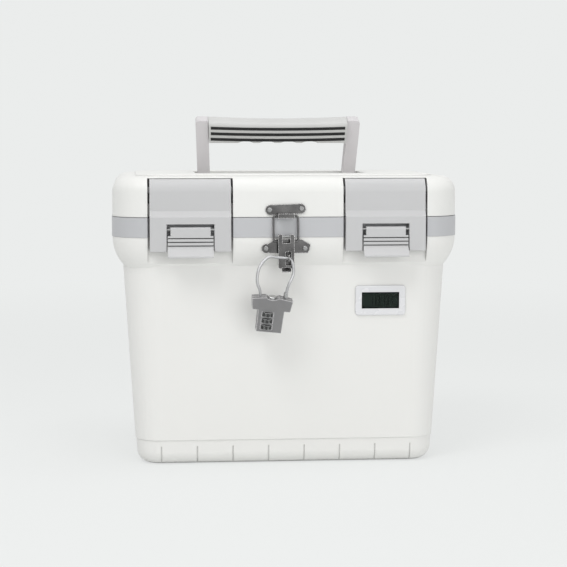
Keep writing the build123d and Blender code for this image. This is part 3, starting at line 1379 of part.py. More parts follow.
with BuildPart() as lock_spindle:
    spindle_low = DIAL_HEIGHTS[0] - DIAL_PITCH / 2 - SPINDLE_OVERHANG / 2
    spindle_high = DIAL_HEIGHTS[-1] + DIAL_PITCH / 2 + SPINDLE_OVERHANG
    add(lock_rod(SPINDLE_RADIUS, DIAL_OFFSET, spindle_low, spindle_high, SPINDLE_DEPTH))
export_piece(lock_spindle, "lock_spindle")

for number, dial_z in enumerate(DIAL_HEIGHTS, start=1):
    with BuildPart() as dial:
        low_plane = lock_cross_plane(DIAL_OFFSET, dial_z - DIAL_THICKNESS / 2, SPINDLE_DEPTH)
        with BuildSketch(low_plane):
            Circle(DIAL_RADIUS)
            Circle(SPINDLE_RADIUS + SPINDLE_FIT, mode=Mode.SUBTRACT)
            with PolarLocations(DIAL_RADIUS, DIAL_FLUTES):
                Circle(DIAL_FLUTE_RADIUS, mode=Mode.SUBTRACT)
        extrude(amount=DIAL_THICKNESS)
    export_piece(dial, f"lock_dial_{number}")

with BuildPart() as lock_button:
    add(lock_rod(BUTTON_RADIUS, 0.0, NECK_LEVEL - BUTTON_SHANK, NECK_LEVEL + BUTTON_PROUD))
    fillet(
        lock_button.edges().sort_by(lambda edge: LOCK_PLANE.to_local_coords(edge.center()).Y)[-1],
        radius=BUTTON_PROUD / 3,
    )
export_piece(lock_button, "lock_button")

# Route of the lock's cable, from its left seat through the eye and down to its right seat
cable_start = LOCK_PLANE.from_local_coords((CABLE_LEFT, LOCK_SEAT, 0))
cable_rise = LOCK_PLANE.from_local_coords((CABLE_LEFT, LOCK_SEAT + CABLE_LEFT_RISE, 0))
cable_drop = LOCK_PLANE.from_local_coords((CABLE_RIGHT, LOCK_SEAT + CABLE_RIGHT_RISE, 0))
cable_end = LOCK_PLANE.from_local_coords((CABLE_RIGHT, LOCK_SEAT, 0))
CABLE_BENDS = [
    (-30.05, -6.3, -23.2),
    (-29.65, -5.5, -14.2),
    (-27.25, -3.5, -6.6),
    (-21.85, -1.6, -0.2),
    (-16.45, -0.7, 2.2),
    (-11.45, -0.3, 1.0),
    (-7.05, -0.1, 0.7),
    (-2.55, 0.0, 0.3),
    (1.85, 0.0, -0.3),
    (4.55, -0.9, -6.6),
    (4.65, -2.9, -15.4),
]
CABLE_POINTS = [
    tuple(cable_start),
    tuple(cable_rise),
    *[(EYE_X + across, EYE_Y + out, EYE_Z + up) for across, out, up in CABLE_BENDS],
    tuple(cable_drop),
    tuple(cable_end),
]


def corner_radii(points):
    """Fillet radius of each corner: a set part of its shorter run over the tangent of half its turn."""
    radii = []
    for before, corner, after in zip(points, points[1:], points[2:]):
        run_in = Vector(*corner) - Vector(*before)
        run_out = Vector(*after) - Vector(*corner)
        turn = radians(run_in.get_angle(run_out))
        radii.append(CABLE_BEND * min(run_in.length, run_out.length) / tan(turn / 2))
    return radii


CABLE_RADII = corner_radii(CABLE_POINTS)
with BuildPart() as lock_cable:
    with BuildLine() as cable_path:
        FilletPolyline(*CABLE_POINTS, radius=CABLE_RADII)
    with BuildSketch(Plane(origin=cable_path.line @ 0, z_dir=cable_path.line % 0)):
        Circle(CABLE_RADIUS)
    sweep()
export_piece(lock_cable, "lock_cable")
cable_length = sum(edge.length for edge in cable_path.edges())
section_volume = pi * CABLE_RADIUS**2 * cable_length
print("lock cable length", round(cable_length, 1))
print("lock cable radii", [round(radius, 1) for radius in CABLE_RADII])
print("lock cable volume over section times length", round(lock_cable.part.volume / section_volume, 4))

with BuildPart() as cable_ferrule:
    ferrule_high = LOCK_COLLAR_Z + FERRULE_LENGTH
    ferrule_bore = CABLE_RADIUS + CABLE_HOLE_CLEARANCE
    add(lock_rod(FERRULE_RADIUS, CABLE_RIGHT, LOCK_COLLAR_Z, ferrule_high))
    add(lock_rod(ferrule_bore, CABLE_RIGHT, LOCK_COLLAR_Z, ferrule_high), mode=Mode.SUBTRACT)
export_piece(cable_ferrule, "cable_ferrule")

# ---------------------------------------------------------------- panel thermometer

CASE_INNER_WIDTH = GAUGE_CASE_WIDTH - 2 * GAUGE_CASE_WALL
CASE_INNER_HEIGHT = GAUGE_CASE_HEIGHT - 2 * GAUGE_CASE_WALL
LENS_WIDTH = GAUGE_WINDOW_WIDTH + 2 * GAUGE_LENS_MARGIN
LENS_HEIGHT = GAUGE_WINDOW_HEIGHT + 2 * GAUGE_LENS_MARGIN
LENS_FRONT = GAUGE_PROUD - GAUGE_LENS_MARGIN
GLASS_FRONT = LENS_FRONT - GAUGE_LENS - GAUGE_FIT / 2
BOARD_FRONT = GLASS_FRONT - GAUGE_GLASS - GAUGE_FIT
CELL_FRONT = BOARD_FRONT - GAUGE_BOARD - GAUGE_FIT / 2


def gauge_slab(width, height, front, thickness):
    """Rectangular slab of the thermometer, between its front and that less its thickness."""
    with BuildPart() as slab:
        with BuildSketch(GAUGE_PLANE.offset(front)):
            Rectangle(width, height)
        extrude(amount=-thickness)
    return slab.part


with BuildPart() as thermometer_case:
    with BuildSketch(GAUGE_PLANE):
        RectangleRounded(GAUGE_WIDTH, GAUGE_HEIGHT, GAUGE_CORNER)
    extrude(amount=GAUGE_PROUD)
    fillet(thermometer_case.faces().sort_by(Axis.Y)[0].edges(), radius=GAUGE_EDGE_FILLET)
    add(gauge_slab(GAUGE_CASE_WIDTH, GAUGE_CASE_HEIGHT, 0.0, GAUGE_CASE_DEPTH))
    add(
        gauge_slab(CASE_INNER_WIDTH, CASE_INNER_HEIGHT, GLASS_FRONT - GAUGE_GLASS, GAUGE_CASE_DEPTH),
        mode=Mode.SUBTRACT,
    )
    lens_room = GAUGE_LENS + GAUGE_GLASS + 2 * GAUGE_FIT
    add(
        gauge_slab(LENS_WIDTH + GAUGE_FIT, LENS_HEIGHT + GAUGE_FIT, LENS_FRONT, lens_room),
        mode=Mode.SUBTRACT,
    )
    add(
        gauge_slab(GAUGE_WINDOW_WIDTH, GAUGE_WINDOW_HEIGHT, GAUGE_PROUD + CLEAR, GAUGE_PROUD + CLEAR),
        mode=Mode.SUBTRACT,
    )
export_piece(thermometer_case, "thermometer_case")

with BuildPart() as thermometer_lens:
    add(gauge_slab(LENS_WIDTH, LENS_HEIGHT, LENS_FRONT, GAUGE_LENS))
export_piece(thermometer_lens, "thermometer_lens")

with BuildPart() as thermometer_display:
    add(gauge_slab(LENS_WIDTH, LENS_HEIGHT, GLASS_FRONT, GAUGE_GLASS))
export_piece(thermometer_display, "thermometer_display")

with BuildPart() as thermometer_board:
    board_width = CASE_INNER_WIDTH - 2 * GAUGE_FIT
    board_height = CASE_INNER_HEIGHT - 2 * GAUGE_FIT
    add(gauge_slab(board_width, board_height, BOARD_FRONT, GAUGE_BOARD))
export_piece(thermometer_board, "thermometer_board")

with BuildPart() as thermometer_cells:
    with BuildSketch(GAUGE_PLANE.offset(CELL_FRONT)):
        with GridLocations(CELL_SPACING, 1, 2, 1):
            Circle(CELL_RADIUS)
    extrude(amount=-CELL_HEIGHT)
export_piece(thermometer_cells, "thermometer_cells")

with BuildPart() as thermometer_back:
    back_front = CELL_FRONT - CELL_HEIGHT - GAUGE_FIT / 2
    back_thickness = GAUGE_CASE_DEPTH + back_front
    add(
        gauge_slab(
            CASE_INNER_WIDTH - GAUGE_FIT, CASE_INNER_HEIGHT - GAUGE_FIT, back_front, back_thickness
        )
    )
export_piece(thermometer_back, "thermometer_back")

with BuildPart() as probe_grommet:
    neck = PROBE_GROMMET_RADIUS - PROBE_GROMMET_LIP - HINGE_PIN_FIT
    wall = LINER_WALL * cos(radians(WALL_DRAFT))
    with BuildSketch(GROMMET_PLANE.offset(PROBE_GROMMET_LIP)):
        Circle(neck)
    extrude(amount=-wall - 2 * PROBE_GROMMET_LIP)
    with BuildSketch(GROMMET_PLANE):
        Circle(PROBE_GROMMET_RADIUS)
    extrude(amount=PROBE_GROMMET_LIP)
    with BuildSketch(GROMMET_PLANE.offset(-wall)):
        Circle(PROBE_GROMMET_RADIUS)
    extrude(amount=-PROBE_GROMMET_LIP)
    with BuildSketch(GROMMET_PLANE.offset(PROBE_GROMMET_LIP)):
        Circle(PROBE_GROMMET_BORE)
    extrude(amount=-wall - 2 * PROBE_GROMMET_LIP, mode=Mode.SUBTRACT)
export_piece(probe_grommet, "probe_grommet")
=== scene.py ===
"""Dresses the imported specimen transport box: finishes for its moulded, foamed, sheet metal and cast
pieces, the small parts that are too fine for the solids, and a plain studio stage."""

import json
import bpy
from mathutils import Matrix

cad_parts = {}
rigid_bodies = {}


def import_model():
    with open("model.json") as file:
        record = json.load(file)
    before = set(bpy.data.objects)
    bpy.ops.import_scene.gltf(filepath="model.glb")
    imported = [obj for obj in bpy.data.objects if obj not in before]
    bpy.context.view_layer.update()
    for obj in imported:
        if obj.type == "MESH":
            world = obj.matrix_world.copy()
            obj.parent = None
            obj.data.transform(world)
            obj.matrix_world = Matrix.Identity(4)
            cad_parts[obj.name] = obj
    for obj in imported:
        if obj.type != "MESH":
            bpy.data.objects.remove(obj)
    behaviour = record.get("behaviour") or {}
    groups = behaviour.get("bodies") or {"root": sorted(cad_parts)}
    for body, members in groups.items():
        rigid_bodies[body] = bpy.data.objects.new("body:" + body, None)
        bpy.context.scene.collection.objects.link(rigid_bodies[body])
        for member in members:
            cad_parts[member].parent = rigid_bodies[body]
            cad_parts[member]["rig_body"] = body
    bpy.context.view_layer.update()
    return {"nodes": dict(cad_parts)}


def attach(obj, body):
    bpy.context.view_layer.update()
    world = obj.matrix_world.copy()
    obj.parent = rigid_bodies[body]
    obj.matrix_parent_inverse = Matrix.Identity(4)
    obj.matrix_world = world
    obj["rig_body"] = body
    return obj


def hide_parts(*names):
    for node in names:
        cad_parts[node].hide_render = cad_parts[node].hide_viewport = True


bl_info = {
    "name": "Specimen transport box",
    "version": (1, 0, 0),
    "blender": (4, 5, 0),
    "location": "View3D > Sidebar > Transport box",
    "description": "Finishes and small parts of an insulated specimen transport box",
    "category": "Object",
}

from math import radians

import bmesh
import bpy
from mathutils import Matrix, Vector

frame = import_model()

MM = 0.001

# Joining and shading of the meshes
SAME_POINT = 1e-6
FLAT_TURN = radians(0.2)
SMOOTH_TURN = radians(32.0)

# Rays that the softened edges and the painted shade in hollows take at each point
EDGE_RAYS = 6
HOLLOW_RAYS = 8

# Cosine of an edge's turn where the painted edge highlight begins, and where it is full
HIGHLIGHT_FROM, HIGHLIGHT_FULL = 0.995, 0.80

# Open share of a hollow where the painted shade is full, and where it ends
CREVICE_SHADE_FULL, CREVICE_SHADE_END = 0.30, 0.78

# How far the painted edge highlight reaches, in widths of the softened edge, and how wide a gap gets
# painted shade
MOULDED_HIGHLIGHT_SPREAD, SHEET_HIGHLIGHT_SPREAD = 1.2, 4.5
CREVICE_SHADE_REACH = 2.2 * MM

# A noise texture stays mostly between these two values
NOISE_LOW, NOISE_HIGH = 0.3, 0.7


# ---------------------------------------------------------------- sizes and colours to set


def colour_choice(name, description, default):
    """A colour that can be changed in the sidebar."""
    return bpy.props.FloatVectorProperty(
        name=name,
        description=description,
        subtype="COLOR",
        size=3,
        min=0.0,
        max=1.0,
        default=default,
    )


def length_choice(name, description, default):
    """A length in metres that can be changed in the sidebar."""
    return bpy.props.FloatProperty(
        name=name, description=description, unit="LENGTH", default=default
    )


class TransportBoxColours(bpy.types.PropertyGroup):
    """Colours of the box's finishes, as linear values."""

    body: colour_choice("Body", "Moulded outer shell", (0.80, 0.795, 0.775))
    lid: colour_choice("Lid", "Moulded lid", (0.785, 0.785, 0.765))
    liner: colour_choice("Liner", "Smooth liners of the chamber and the lid", (0.80, 0.80, 0.79))
    band: colour_choice("Band", "Grey band round the rim", (0.50, 0.505, 0.52))
    foam: colour_choice("Foam", "Rigid insulating foam", (0.80, 0.72, 0.50))
    seal: colour_choice("Seal", "Sealing strip of the lid", (0.35, 0.35, 0.36))
    latch: colour_choice("Latch", "Side latches and their levers", (0.53, 0.53, 0.535))
    frame: colour_choice("Handle frame", "Arms of the carrying handle", (0.64, 0.62, 0.63))
    grip: colour_choice("Grip", "Soft cover of the grip", (0.58, 0.58, 0.57))
    stripe: colour_choice("Stripe", "Black strips in the grip", (0.002, 0.002, 0.0025))
    steel: colour_choice("Clasp steel", "Sheet and bail of the draw latch", (0.15, 0.147, 0.147))
    wire: colour_choice("Wire", "Drawn pins and rivets", (0.38, 0.38, 0.38))
    zinc: colour_choice("Lock", "Satin body of the lock", (0.235, 0.232, 0.235))
    bright: colour_choice("Bright parts", "Plated button, spindle and fittings", (0.55, 0.55, 0.55))
    dial: colour_choice("Dials", "Dark plated dials of the lock", (0.085, 0.085, 0.085))
    cable: colour_choice("Cable", "Steel strands under the clear sleeve", (0.50, 0.50, 0.51))
    gauge: colour_choice("Thermometer", "Case of the thermometer", (0.72, 0.722, 0.74))
    display: colour_choice("Display", "Dark liquid crystal", (0.016, 0.024, 0.020))
    digit: colour_choice("Digit", "Figures of the display", (0.001, 0.002, 0.001))
    border: colour_choice("Border", "Black border of the display", (0.001, 0.001, 0.001))
    board: colour_choice("Board", "Circuit board", (0.01, 0.10, 0.04))
    grommet: colour_choice("Grommet", "Rubber ring of the probe", (0.02, 0.02, 0.02))
    floor: colour_choice("Floor", "Pale floor and backdrop", (0.83, 0.845, 0.838))


class TransportBoxSizes(bpy.types.PropertyGroup):
    """Sizes of the fine detail."""

    cable: length_choice("Cable", "Diameter of the lock's cable over its sleeve", 2.8 * MM)
    edge: length_choice("Moulded edge", "Softening of the moulded edges", 0.5 * MM)
    sheet_edge: length_choice("Sheet edge", "Softening of the sheet metal's edges", 0.15 * MM)
    # Width of the painted highlight along the lock's edges
    casting_highlight_width: length_choice("Casting edge", "Rubbed width on the lock's edges", 1.1 * MM)
    grain: length_choice("Grain", "Size of the grain on the body and the lid", 0.9 * MM)
    fine_grain: length_choice("Fine grain", "Size of the grain on latches and handle", 0.7 * MM)


# ---------------------------------------------------------------- selecting and shaping


def nothing_selected():
    """Leaves edit mode and deselects everything."""
    if bpy.context.object and bpy.context.object.mode != "OBJECT":
        bpy.ops.object.mode_set(mode="OBJECT")
    bpy.ops.object.select_all(action="DESELECT")


def only(piece):
    """Selects one piece alone and makes it active."""
    nothing_selected()
    piece.select_set(True)
    bpy.context.view_layer.objects.active = piece


def edit(piece):
    """Opens one piece in edit mode with nothing selected."""
    only(piece)
    bpy.ops.object.mode_set(mode="EDIT")
    bpy.ops.mesh.select_all(action="DESELECT")


def pick_edges(piece, wanted):
    """In edit mode, selects the edges for which wanted(start, end) holds."""
    bpy.ops.mesh.select_mode(type="EDGE")
    mesh = bmesh.from_edit_mesh(piece.data)
    for edge in mesh.edges:
        edge.select = bool(wanted(edge.verts[0].co, edge.verts[1].co))
    mesh.select_flush_mode()
    bmesh.update_edit_mesh(piece.data)


def close_edit():
    """Turns the faces outwards and leaves edit mode."""
    bpy.ops.mesh.select_all(action="SELECT")
    bpy.ops.mesh.remove_doubles(threshold=SAME_POINT)
    bpy.ops.mesh.normals_make_consistent(inside=False)
    bpy.ops.object.mode_set(mode="OBJECT")


def weigh_normals(piece):
    """Lets a piece's large faces stay flat beside its rounded edges."""
    only(piece)
    weighted = piece.modifiers.new("normals", "WEIGHTED_NORMAL")
    weighted.keep_sharp = True
    bpy.ops.object.modifier_apply(modifier=weighted.name)


def dress(piece, material, body, slot, *nodes):
    """Gives a finished piece its material and body, and hides the CAD nodes that it stands for. The
    slot is not used.
    """
    piece.data.materials.clear()
    piece.data.materials.append(material)
    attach(piece, body)
    if nodes:
        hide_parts(*nodes)
    return piece


def smooth_copy(node, name, material, slot):
    """A joined, smoothly shaded copy of a CAD node, which then stands for it."""
    source = frame["nodes"][node]
    piece = bpy.data.objects.new(name, source.data.copy())
    bpy.context.scene.collection.objects.link(piece)
    edit(piece)
    bpy.ops.mesh.select_all(action="SELECT")
    bpy.ops.mesh.remove_doubles(threshold=SAME_POINT)
    bpy.ops.mesh.customdata_custom_splitnormals_clear()
    bpy.ops.mesh.dissolve_limited(angle_limit=FLAT_TURN)
    bpy.ops.object.mode_set(mode="OBJECT")
    bpy.ops.object.shade_smooth_by_angle(angle=SMOOTH_TURN)
    weigh_normals(piece)
    return dress(piece, material, source["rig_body"], slot, node)


# ---------------------------------------------------------------- finishes


def shade(colour, factor=1.0):
    """A colour made darker or brighter, never past white, as a socket takes it."""
    return (*(min(channel * factor, 1.0) for channel in colour), 1.0)


class Finish:
    """A material under way: its nodes, its links and its shader."""

    def __init__(self, name, colour, roughness, metallic=0.0):
        self.material = bpy.data.materials.new(name)
        self.material.use_nodes = True
        self.nodes = self.material.node_tree.nodes
        self.links = self.material.node_tree.links
        self.shader = self.nodes["Principled BSDF"]
        self.colour = colour
        self.shader.inputs["Base Color"].default_value = shade(colour)
        self.shader.inputs["Roughness"].default_value = roughness
        self.shader.inputs["Metallic"].default_value = metallic
        self.place = self.nodes.new("ShaderNodeTexCoord").outputs["Object"]

    def noise(self, scale, detail=2.0):
        """Noise on the piece's own coordinates."""
        texture = self.nodes.new("ShaderNodeTexNoise")
        texture.inputs["Scale"].default_value = scale
        texture.inputs["Detail"].default_value = detail
        self.links.new(self.place, texture.inputs["Vector"])
        return texture.outputs["Fac"]

    def map_range(self, source, start, end, low=0.0, high=1.0):
        """Takes a value from start..end to low..high, and no further."""
        ranged = self.nodes.new("ShaderNodeMapRange")
        ranged.inputs["From Min"].default_value = start
        ranged.inputs["From Max"].default_value = end
        ranged.inputs["To Min"].default_value = low
        ranged.inputs["To Max"].default_value = high
        self.links.new(source, ranged.inputs["Value"])
        return ranged

    def spread(self, texture, low=0.0, high=1.0):
        """Takes a texture to a range of values."""
        return self.map_range(texture, NOISE_LOW, NOISE_HIGH, low, high).outputs["Result"]

    def mix_colour(self, factor, first, second):
        """Colours the surface from the first to the second, each a colour or a mix before it."""
        mix = self.nodes.new("ShaderNodeMix")
        mix.data_type = "RGBA"
        self.links.new(factor, mix.inputs["Factor"])
        for socket, given in (("A", first), ("B", second)):
            if isinstance(given, tuple):
                mix.inputs[socket].default_value = given
            else:
                self.links.new(given.outputs["Result"], mix.inputs[socket])
        self.links.new(mix.outputs["Result"], self.shader.inputs["Base Color"])
        return mix

    def tint(self, source, darker):
        """Varies the colour between itself and a darker shade of itself."""
        return self.mix_colour(source, shade(self.colour), shade(self.colour, darker))

    def roughen(self, source, low, high):
        """Varies the roughness between two values."""
        self.links.new(self.spread(source, low, high), self.shader.inputs["Roughness"])

    def softened(self, radius):
        """The surface's direction as it would be with its edges rounded."""
        soft = self.nodes.new("ShaderNodeBevel")
        soft.samples = EDGE_RAYS
        soft.inputs["Radius"].default_value = radius
        return soft.outputs["Normal"]

    def painted_edge_highlight(self, width, brighter, before):
        """Paints a highlight along edges and corners by lightening the colour there."""
        flat = self.nodes.new("ShaderNodeNewGeometry")
        turn = self.nodes.new("ShaderNodeVectorMath")
        turn.operation = "DOT_PRODUCT"
        self.links.new(self.softened(width), turn.inputs[0])
        self.links.new(flat.outputs["True Normal"], turn.inputs[1])
        band = self.map_range(turn.outputs["Value"], HIGHLIGHT_FROM, HIGHLIGHT_FULL)
        return self.mix_colour(band.outputs["Result"], before, shade(self.colour, brighter))

    def painted_crevice_shade(self, reach, darker, before):
        """Paints shade into grooves and gaps narrower than the reach by darkening the colour there.
        """
        hollow = self.nodes.new("ShaderNodeAmbientOcclusion")
        hollow.samples = HOLLOW_RAYS
        hollow.inputs["Distance"].default_value = reach
        band = self.map_range(hollow.outputs["AO"], CREVICE_SHADE_FULL, CREVICE_SHADE_END)
        return self.mix_colour(band.outputs["Result"], shade(self.colour, darker), before)

    def bump(self, source, height, strength=1.0, edge=0.0):
        """Raises the surface by a texture, with softened edges under it."""
        bump = self.nodes.new("ShaderNodeBump")
        bump.inputs["Distance"].default_value = height
        bump.inputs["Strength"].default_value = strength
        self.links.new(source, bump.inputs["Height"])
        if edge > 0.0:
            self.links.new(self.softened(edge), bump.inputs["Normal"])
        self.links.new(bump.outputs["Normal"], self.shader.inputs["Normal"])


def moulded(name, colour, roughness, edge, grain, gloss=0.4, highlight_gain=1.0, crevice_darkening=1.0):
    """Moulded plastic: a fine spark-eroded grain, faint clouding and softened edges, with a painted
    highlight along the edges and painted shade in crevices where asked for.
    """
    finish = Finish(name, colour, roughness)
    finish.shader.inputs["Specular IOR Level"].default_value = gloss
    clouded = finish.tint(finish.spread(finish.noise(scale=6.0, detail=3.0)), darker=0.975)
    if highlight_gain > 1.0:
        clouded = finish.painted_edge_highlight(MOULDED_HIGHLIGHT_SPREAD * edge, highlight_gain, clouded)
    if crevice_darkening < 1.0:
        finish.painted_crevice_shade(CREVICE_SHADE_REACH, crevice_darkening, clouded)
    finish.roughen(finish.noise(scale=40.0, detail=3.0), roughness - 0.05, roughness + 0.07)
    finish.bump(finish.noise(scale=1.0 / grain), height=0.02 * MM, strength=0.5, edge=edge)
    return finish.material


def rigid_foam(name, colour):
    """Rigid foam: small closed cells."""
    finish = Finish(name, colour, roughness=0.9)
    cells = finish.nodes.new("ShaderNodeTexVoronoi")
    cells.inputs["Scale"].default_value = 700.0
    finish.links.new(finish.place, cells.inputs["Vector"])
    finish.tint(finish.spread(cells.outputs["Distance"]), darker=0.86)
    finish.bump(cells.outputs["Distance"], height=0.3 * MM)
    return finish.material


def soft_rubber(name, colour, roughness=0.6):
    """Soft rubber or a soft-touch cover: matt, with a slight sheen and a powdery grain."""
    finish = Finish(name, colour, roughness)
    finish.shader.inputs["Sheen Weight"].default_value = 0.1
    finish.tint(finish.spread(finish.noise(scale=25.0, detail=3.0)), darker=0.95)
    finish.roughen(finish.noise(scale=60.0), roughness - 0.06, roughness + 0.08)
    powder = finish.noise(scale=1800.0, detail=1.0)
    finish.bump(powder, height=0.02 * MM, strength=0.6, edge=0.3 * MM)
    return finish.material


def polished_sheet(name, colour, roughness, edge=0.15 * MM, highlight_gain=1.7):
    """Polished steel: faint rolling marks, smears and edges lightened by a painted highlight."""
    finish = Finish(name, colour, roughness, metallic=1.0)
    clouded = finish.tint(finish.spread(finish.noise(scale=90.0, detail=4.0)), darker=0.62)
    finish.painted_edge_highlight(SHEET_HIGHLIGHT_SPREAD * edge, highlight_gain, clouded)
    finish.roughen(finish.noise(scale=150.0, detail=4.0), roughness - 0.06, roughness + 0.12)
    finish.bump(finish.noise(scale=600.0), height=0.012 * MM, strength=0.5, edge=edge)
    return finish.material


def satin_cast(name, colour, edge):
    """Satin-plated casting: a fine blasted surface with edges lightened by a painted highlight."""
    finish = Finish(name, colour, roughness=0.42, metallic=0.25)
    clouded = finish.tint(finish.spread(finish.noise(scale=120.0, detail=4.0)), darker=0.9)
    finish.painted_edge_highlight(edge, 3.4, clouded)
    finish.roughen(finish.noise(scale=90.0, detail=3.0), 0.36, 0.5)
    finish.bump(finish.noise(scale=2500.0), height=0.02 * MM, strength=0.7, edge=0.35 * MM)
    return finish.material


def clear_window(name):
    """Clear moulded window with a coating that takes away its glare."""
    finish = Finish(name, (0.95, 0.98, 0.97), roughness=0.04)
    finish.shader.inputs["Transmission Weight"].default_value = 1.0
    finish.shader.inputs["IOR"].default_value = 1.1
    finish.bump(finish.noise(scale=60.0), height=0.004 * MM, strength=0.3)
    return finish.material


def sleeved_cable(name, colour):
    """Steel strands wound under a clear sleeve, patterned along the cable."""
    finish = Finish(name, colour, roughness=0.28, metallic=0.75)
    finish.shader.inputs["Coat Weight"].default_value = 1.0
    finish.shader.inputs["Coat Roughness"].default_value = 0.08
    along = finish.nodes.new("ShaderNodeTexCoord").outputs["UV"]
    mapping = finish.nodes.new("ShaderNodeMapping")
    mapping.inputs["Rotation"].default_value = (0.0, 0.0, radians(20.0))
    mapping.inputs["Scale"].default_value = (60.0, 9.0, 1.0)
    strands = finish.nodes.new("ShaderNodeTexWave")
    strands.inputs["Scale"].default_value = 1.2
    strands.inputs["Distortion"].default_value = 0.3
    finish.links.new(along, mapping.inputs["Vector"])
    finish.links.new(mapping.outputs["Vector"], strands.inputs["Vector"])
    finish.tint(strands.outputs["Fac"], darker=0.72)
    finish.bump(strands.outputs["Fac"], height=0.05 * MM, strength=0.5)
    return finish.material


# ---------------------------------------------------------------- pieces of the box


class TRANSPORTBOX_OT_shells(bpy.types.Operator):
    """Finish the outer shell, the lid, the liners, the foam, the rim band and the seal"""

    bl_idname = "transportbox.shells"
    bl_label = "Shells and liners"

    def execute(self, context):
        colours = context.scene.transport_box_colours
        sizes = context.scene.transport_box_sizes
        edge, grain = sizes.edge, sizes.grain
        # The body and the lid get painted shade in their crevices and along their contact lines
        body = moulded("moulded_body", colours.body, 0.48, edge, grain, crevice_darkening=0.62)
        lid = moulded("moulded_lid", colours.lid, 0.46, edge, grain, crevice_darkening=0.62)
        liner = moulded("smooth_liner", colours.liner, 0.3, edge, 4 * grain)
        band = moulded("rim_band_grey", colours.band, 0.42, edge, grain)
        foam = rigid_foam("insulating_foam", colours.foam)
        seal = soft_rubber("lid_seal", colours.seal)
        for node, name, material, slot in (
            ("outer_shell", "shell_moulding", body, "white_shell"),
            ("lid_shell", "lid_moulding", lid, "lid_white"),
            ("inner_liner", "chamber_liner", liner, "liner_white"),
            ("lid_liner", "lid_lining", liner, "liner_white"),
            ("rim_band", "rim_moulding", band, "band_grey"),
            ("body_insulation", "body_foam", foam, "foam"),
            ("lid_insulation", "lid_foam", foam, "foam"),
            ("lid_gasket", "lid_seal_strip", seal, "gasket"),
        ):
            smooth_copy(node, name, material, slot)
        return {"FINISHED"}


class TRANSPORTBOX_OT_side_latches(bpy.types.Operator):
    """Finish the two side latches, their levers and their pins"""

    bl_idname = "transportbox.side_latches"
    bl_label = "Side latches"

    def execute(self, context):
        colours = context.scene.transport_box_colours
        sizes = context.scene.transport_box_sizes
        edge, grain = sizes.edge, sizes.fine_grain
        # The latches get a painted highlight along their edges and strong painted shade in their
        # gaps, and the pins a painted highlight
        grey = moulded("latch_grey", colours.latch, 0.4, edge, grain, highlight_gain=1.3, crevice_darkening=0.25)
        wire = polished_sheet("drawn_pins", colours.wire, 0.3)
        for side in ("left", "right"):
            smooth_copy(f"latch_flap_{side}", f"flap_{side}", grey, "latch_grey")
            smooth_copy(f"latch_lever_{side}", f"lever_{side}", grey, "latch_grey")
            smooth_copy(f"lever_pin_{side}", f"lever_rod_{side}", wire, "steel_pins")
        smooth_copy("flap_pins", "flap_rods", wire, "steel_pins")
        smooth_copy("hinge_pins", "hinge_rods", wire, "steel_pins")
        return {"FINISHED"}


class TRANSPORTBOX_OT_handle(bpy.types.Operator):
    """Finish the carrying handle: its frame, soft grip, black strips and pins"""

    bl_idname = "transportbox.handle"
    bl_label = "Carrying handle"

    def execute(self, context):
        colours = context.scene.transport_box_colours
        sizes = context.scene.transport_box_sizes
        arms = moulded("handle_arms", colours.frame, 0.42, 1.2 * sizes.edge, sizes.fine_grain)
        grip = soft_rubber("soft_grip", colours.grip, 0.5)
        stripe = soft_rubber("black_strips", colours.stripe, 0.45)
        wire = polished_sheet("handle_rods_steel", colours.wire, 0.3)
        smooth_copy("handle_frame", "handle_arms", arms, "handle_grey")
        smooth_copy("handle_grip", "grip_cover", grip, "grip_grey")
        smooth_copy("grip_inlays", "grip_strips", stripe, "grip_stripes")
        smooth_copy("handle_pins", "handle_rods", wire, "steel_pins")
        return {"FINISHED"}


class TRANSPORTBOX_OT_draw_latch(bpy.types.Operator):
    """Finish the draw latch: base, keeper, lever, bail, rivets and pin"""

    bl_idname = "transportbox.draw_latch"
    bl_label = "Draw latch"

    def execute(self, context):
        colours = context.scene.transport_box_colours
        sizes = context.scene.transport_box_sizes
        edge = sizes.sheet_edge
        # The plate, keeper, lever and rivets get a painted highlight along their edges, strongest on
        # the sheet
        sheet = polished_sheet("clasp_sheet", colours.steel, 0.18, edge, highlight_gain=6.0)
        bright = polished_sheet("rivet_steel", colours.wire, 0.15, edge)
        drawn = polished_sheet("bail_wire_steel", colours.steel, 0.15, edge, highlight_gain=1.0)
        for node, name, material in (
            ("clasp_base", "clasp_plate", sheet),
            ("keeper_plate", "keeper", sheet),
            ("draw_lever", "draw_arm", sheet),
            ("clasp_rivets", "base_rivets", bright),
            ("keeper_rivets", "keeper_studs", bright),
            ("fulcrum_pin", "fulcrum", bright),
            ("bail_wire", "bail", drawn),
        ):
            smooth_copy(node, name, material, "clasp_steel")
        return {"FINISHED"}


class TRANSPORTBOX_OT_lock(bpy.types.Operator):
    """Finish the hanging combination lock: its housing, dials, spindle and button"""

    bl_idname = "transportbox.lock"
    bl_label = "Combination lock"

    def execute(self, context):
        colours = context.scene.transport_box_colours
        sizes = context.scene.transport_box_sizes
        # The casting, the plating and the dials get a painted highlight along their edges
        zinc = satin_cast("lock_casting", colours.zinc, sizes.casting_highlight_width)
        bright = polished_sheet("lock_plating", colours.bright, 0.15, 0.2 * MM)
        dial = polished_sheet("dial_plating", colours.dial, 0.2, 0.2 * MM, highlight_gain=8.0)
        smooth_copy("lock_front", "lock_face", zinc, "lock_zinc")
        smooth_copy("lock_back", "lock_rear", zinc, "lock_zinc")
        smooth_copy("lock_spindle", "dial_spindle", bright, "steel_pins")
        smooth_copy("lock_button", "release_button", bright, "lock_bright")
        for number in (1, 2, 3):
            smooth_copy(f"lock_dial_{number}", f"dial_{number}", dial, "lock_bright")
        return {"FINISHED"}


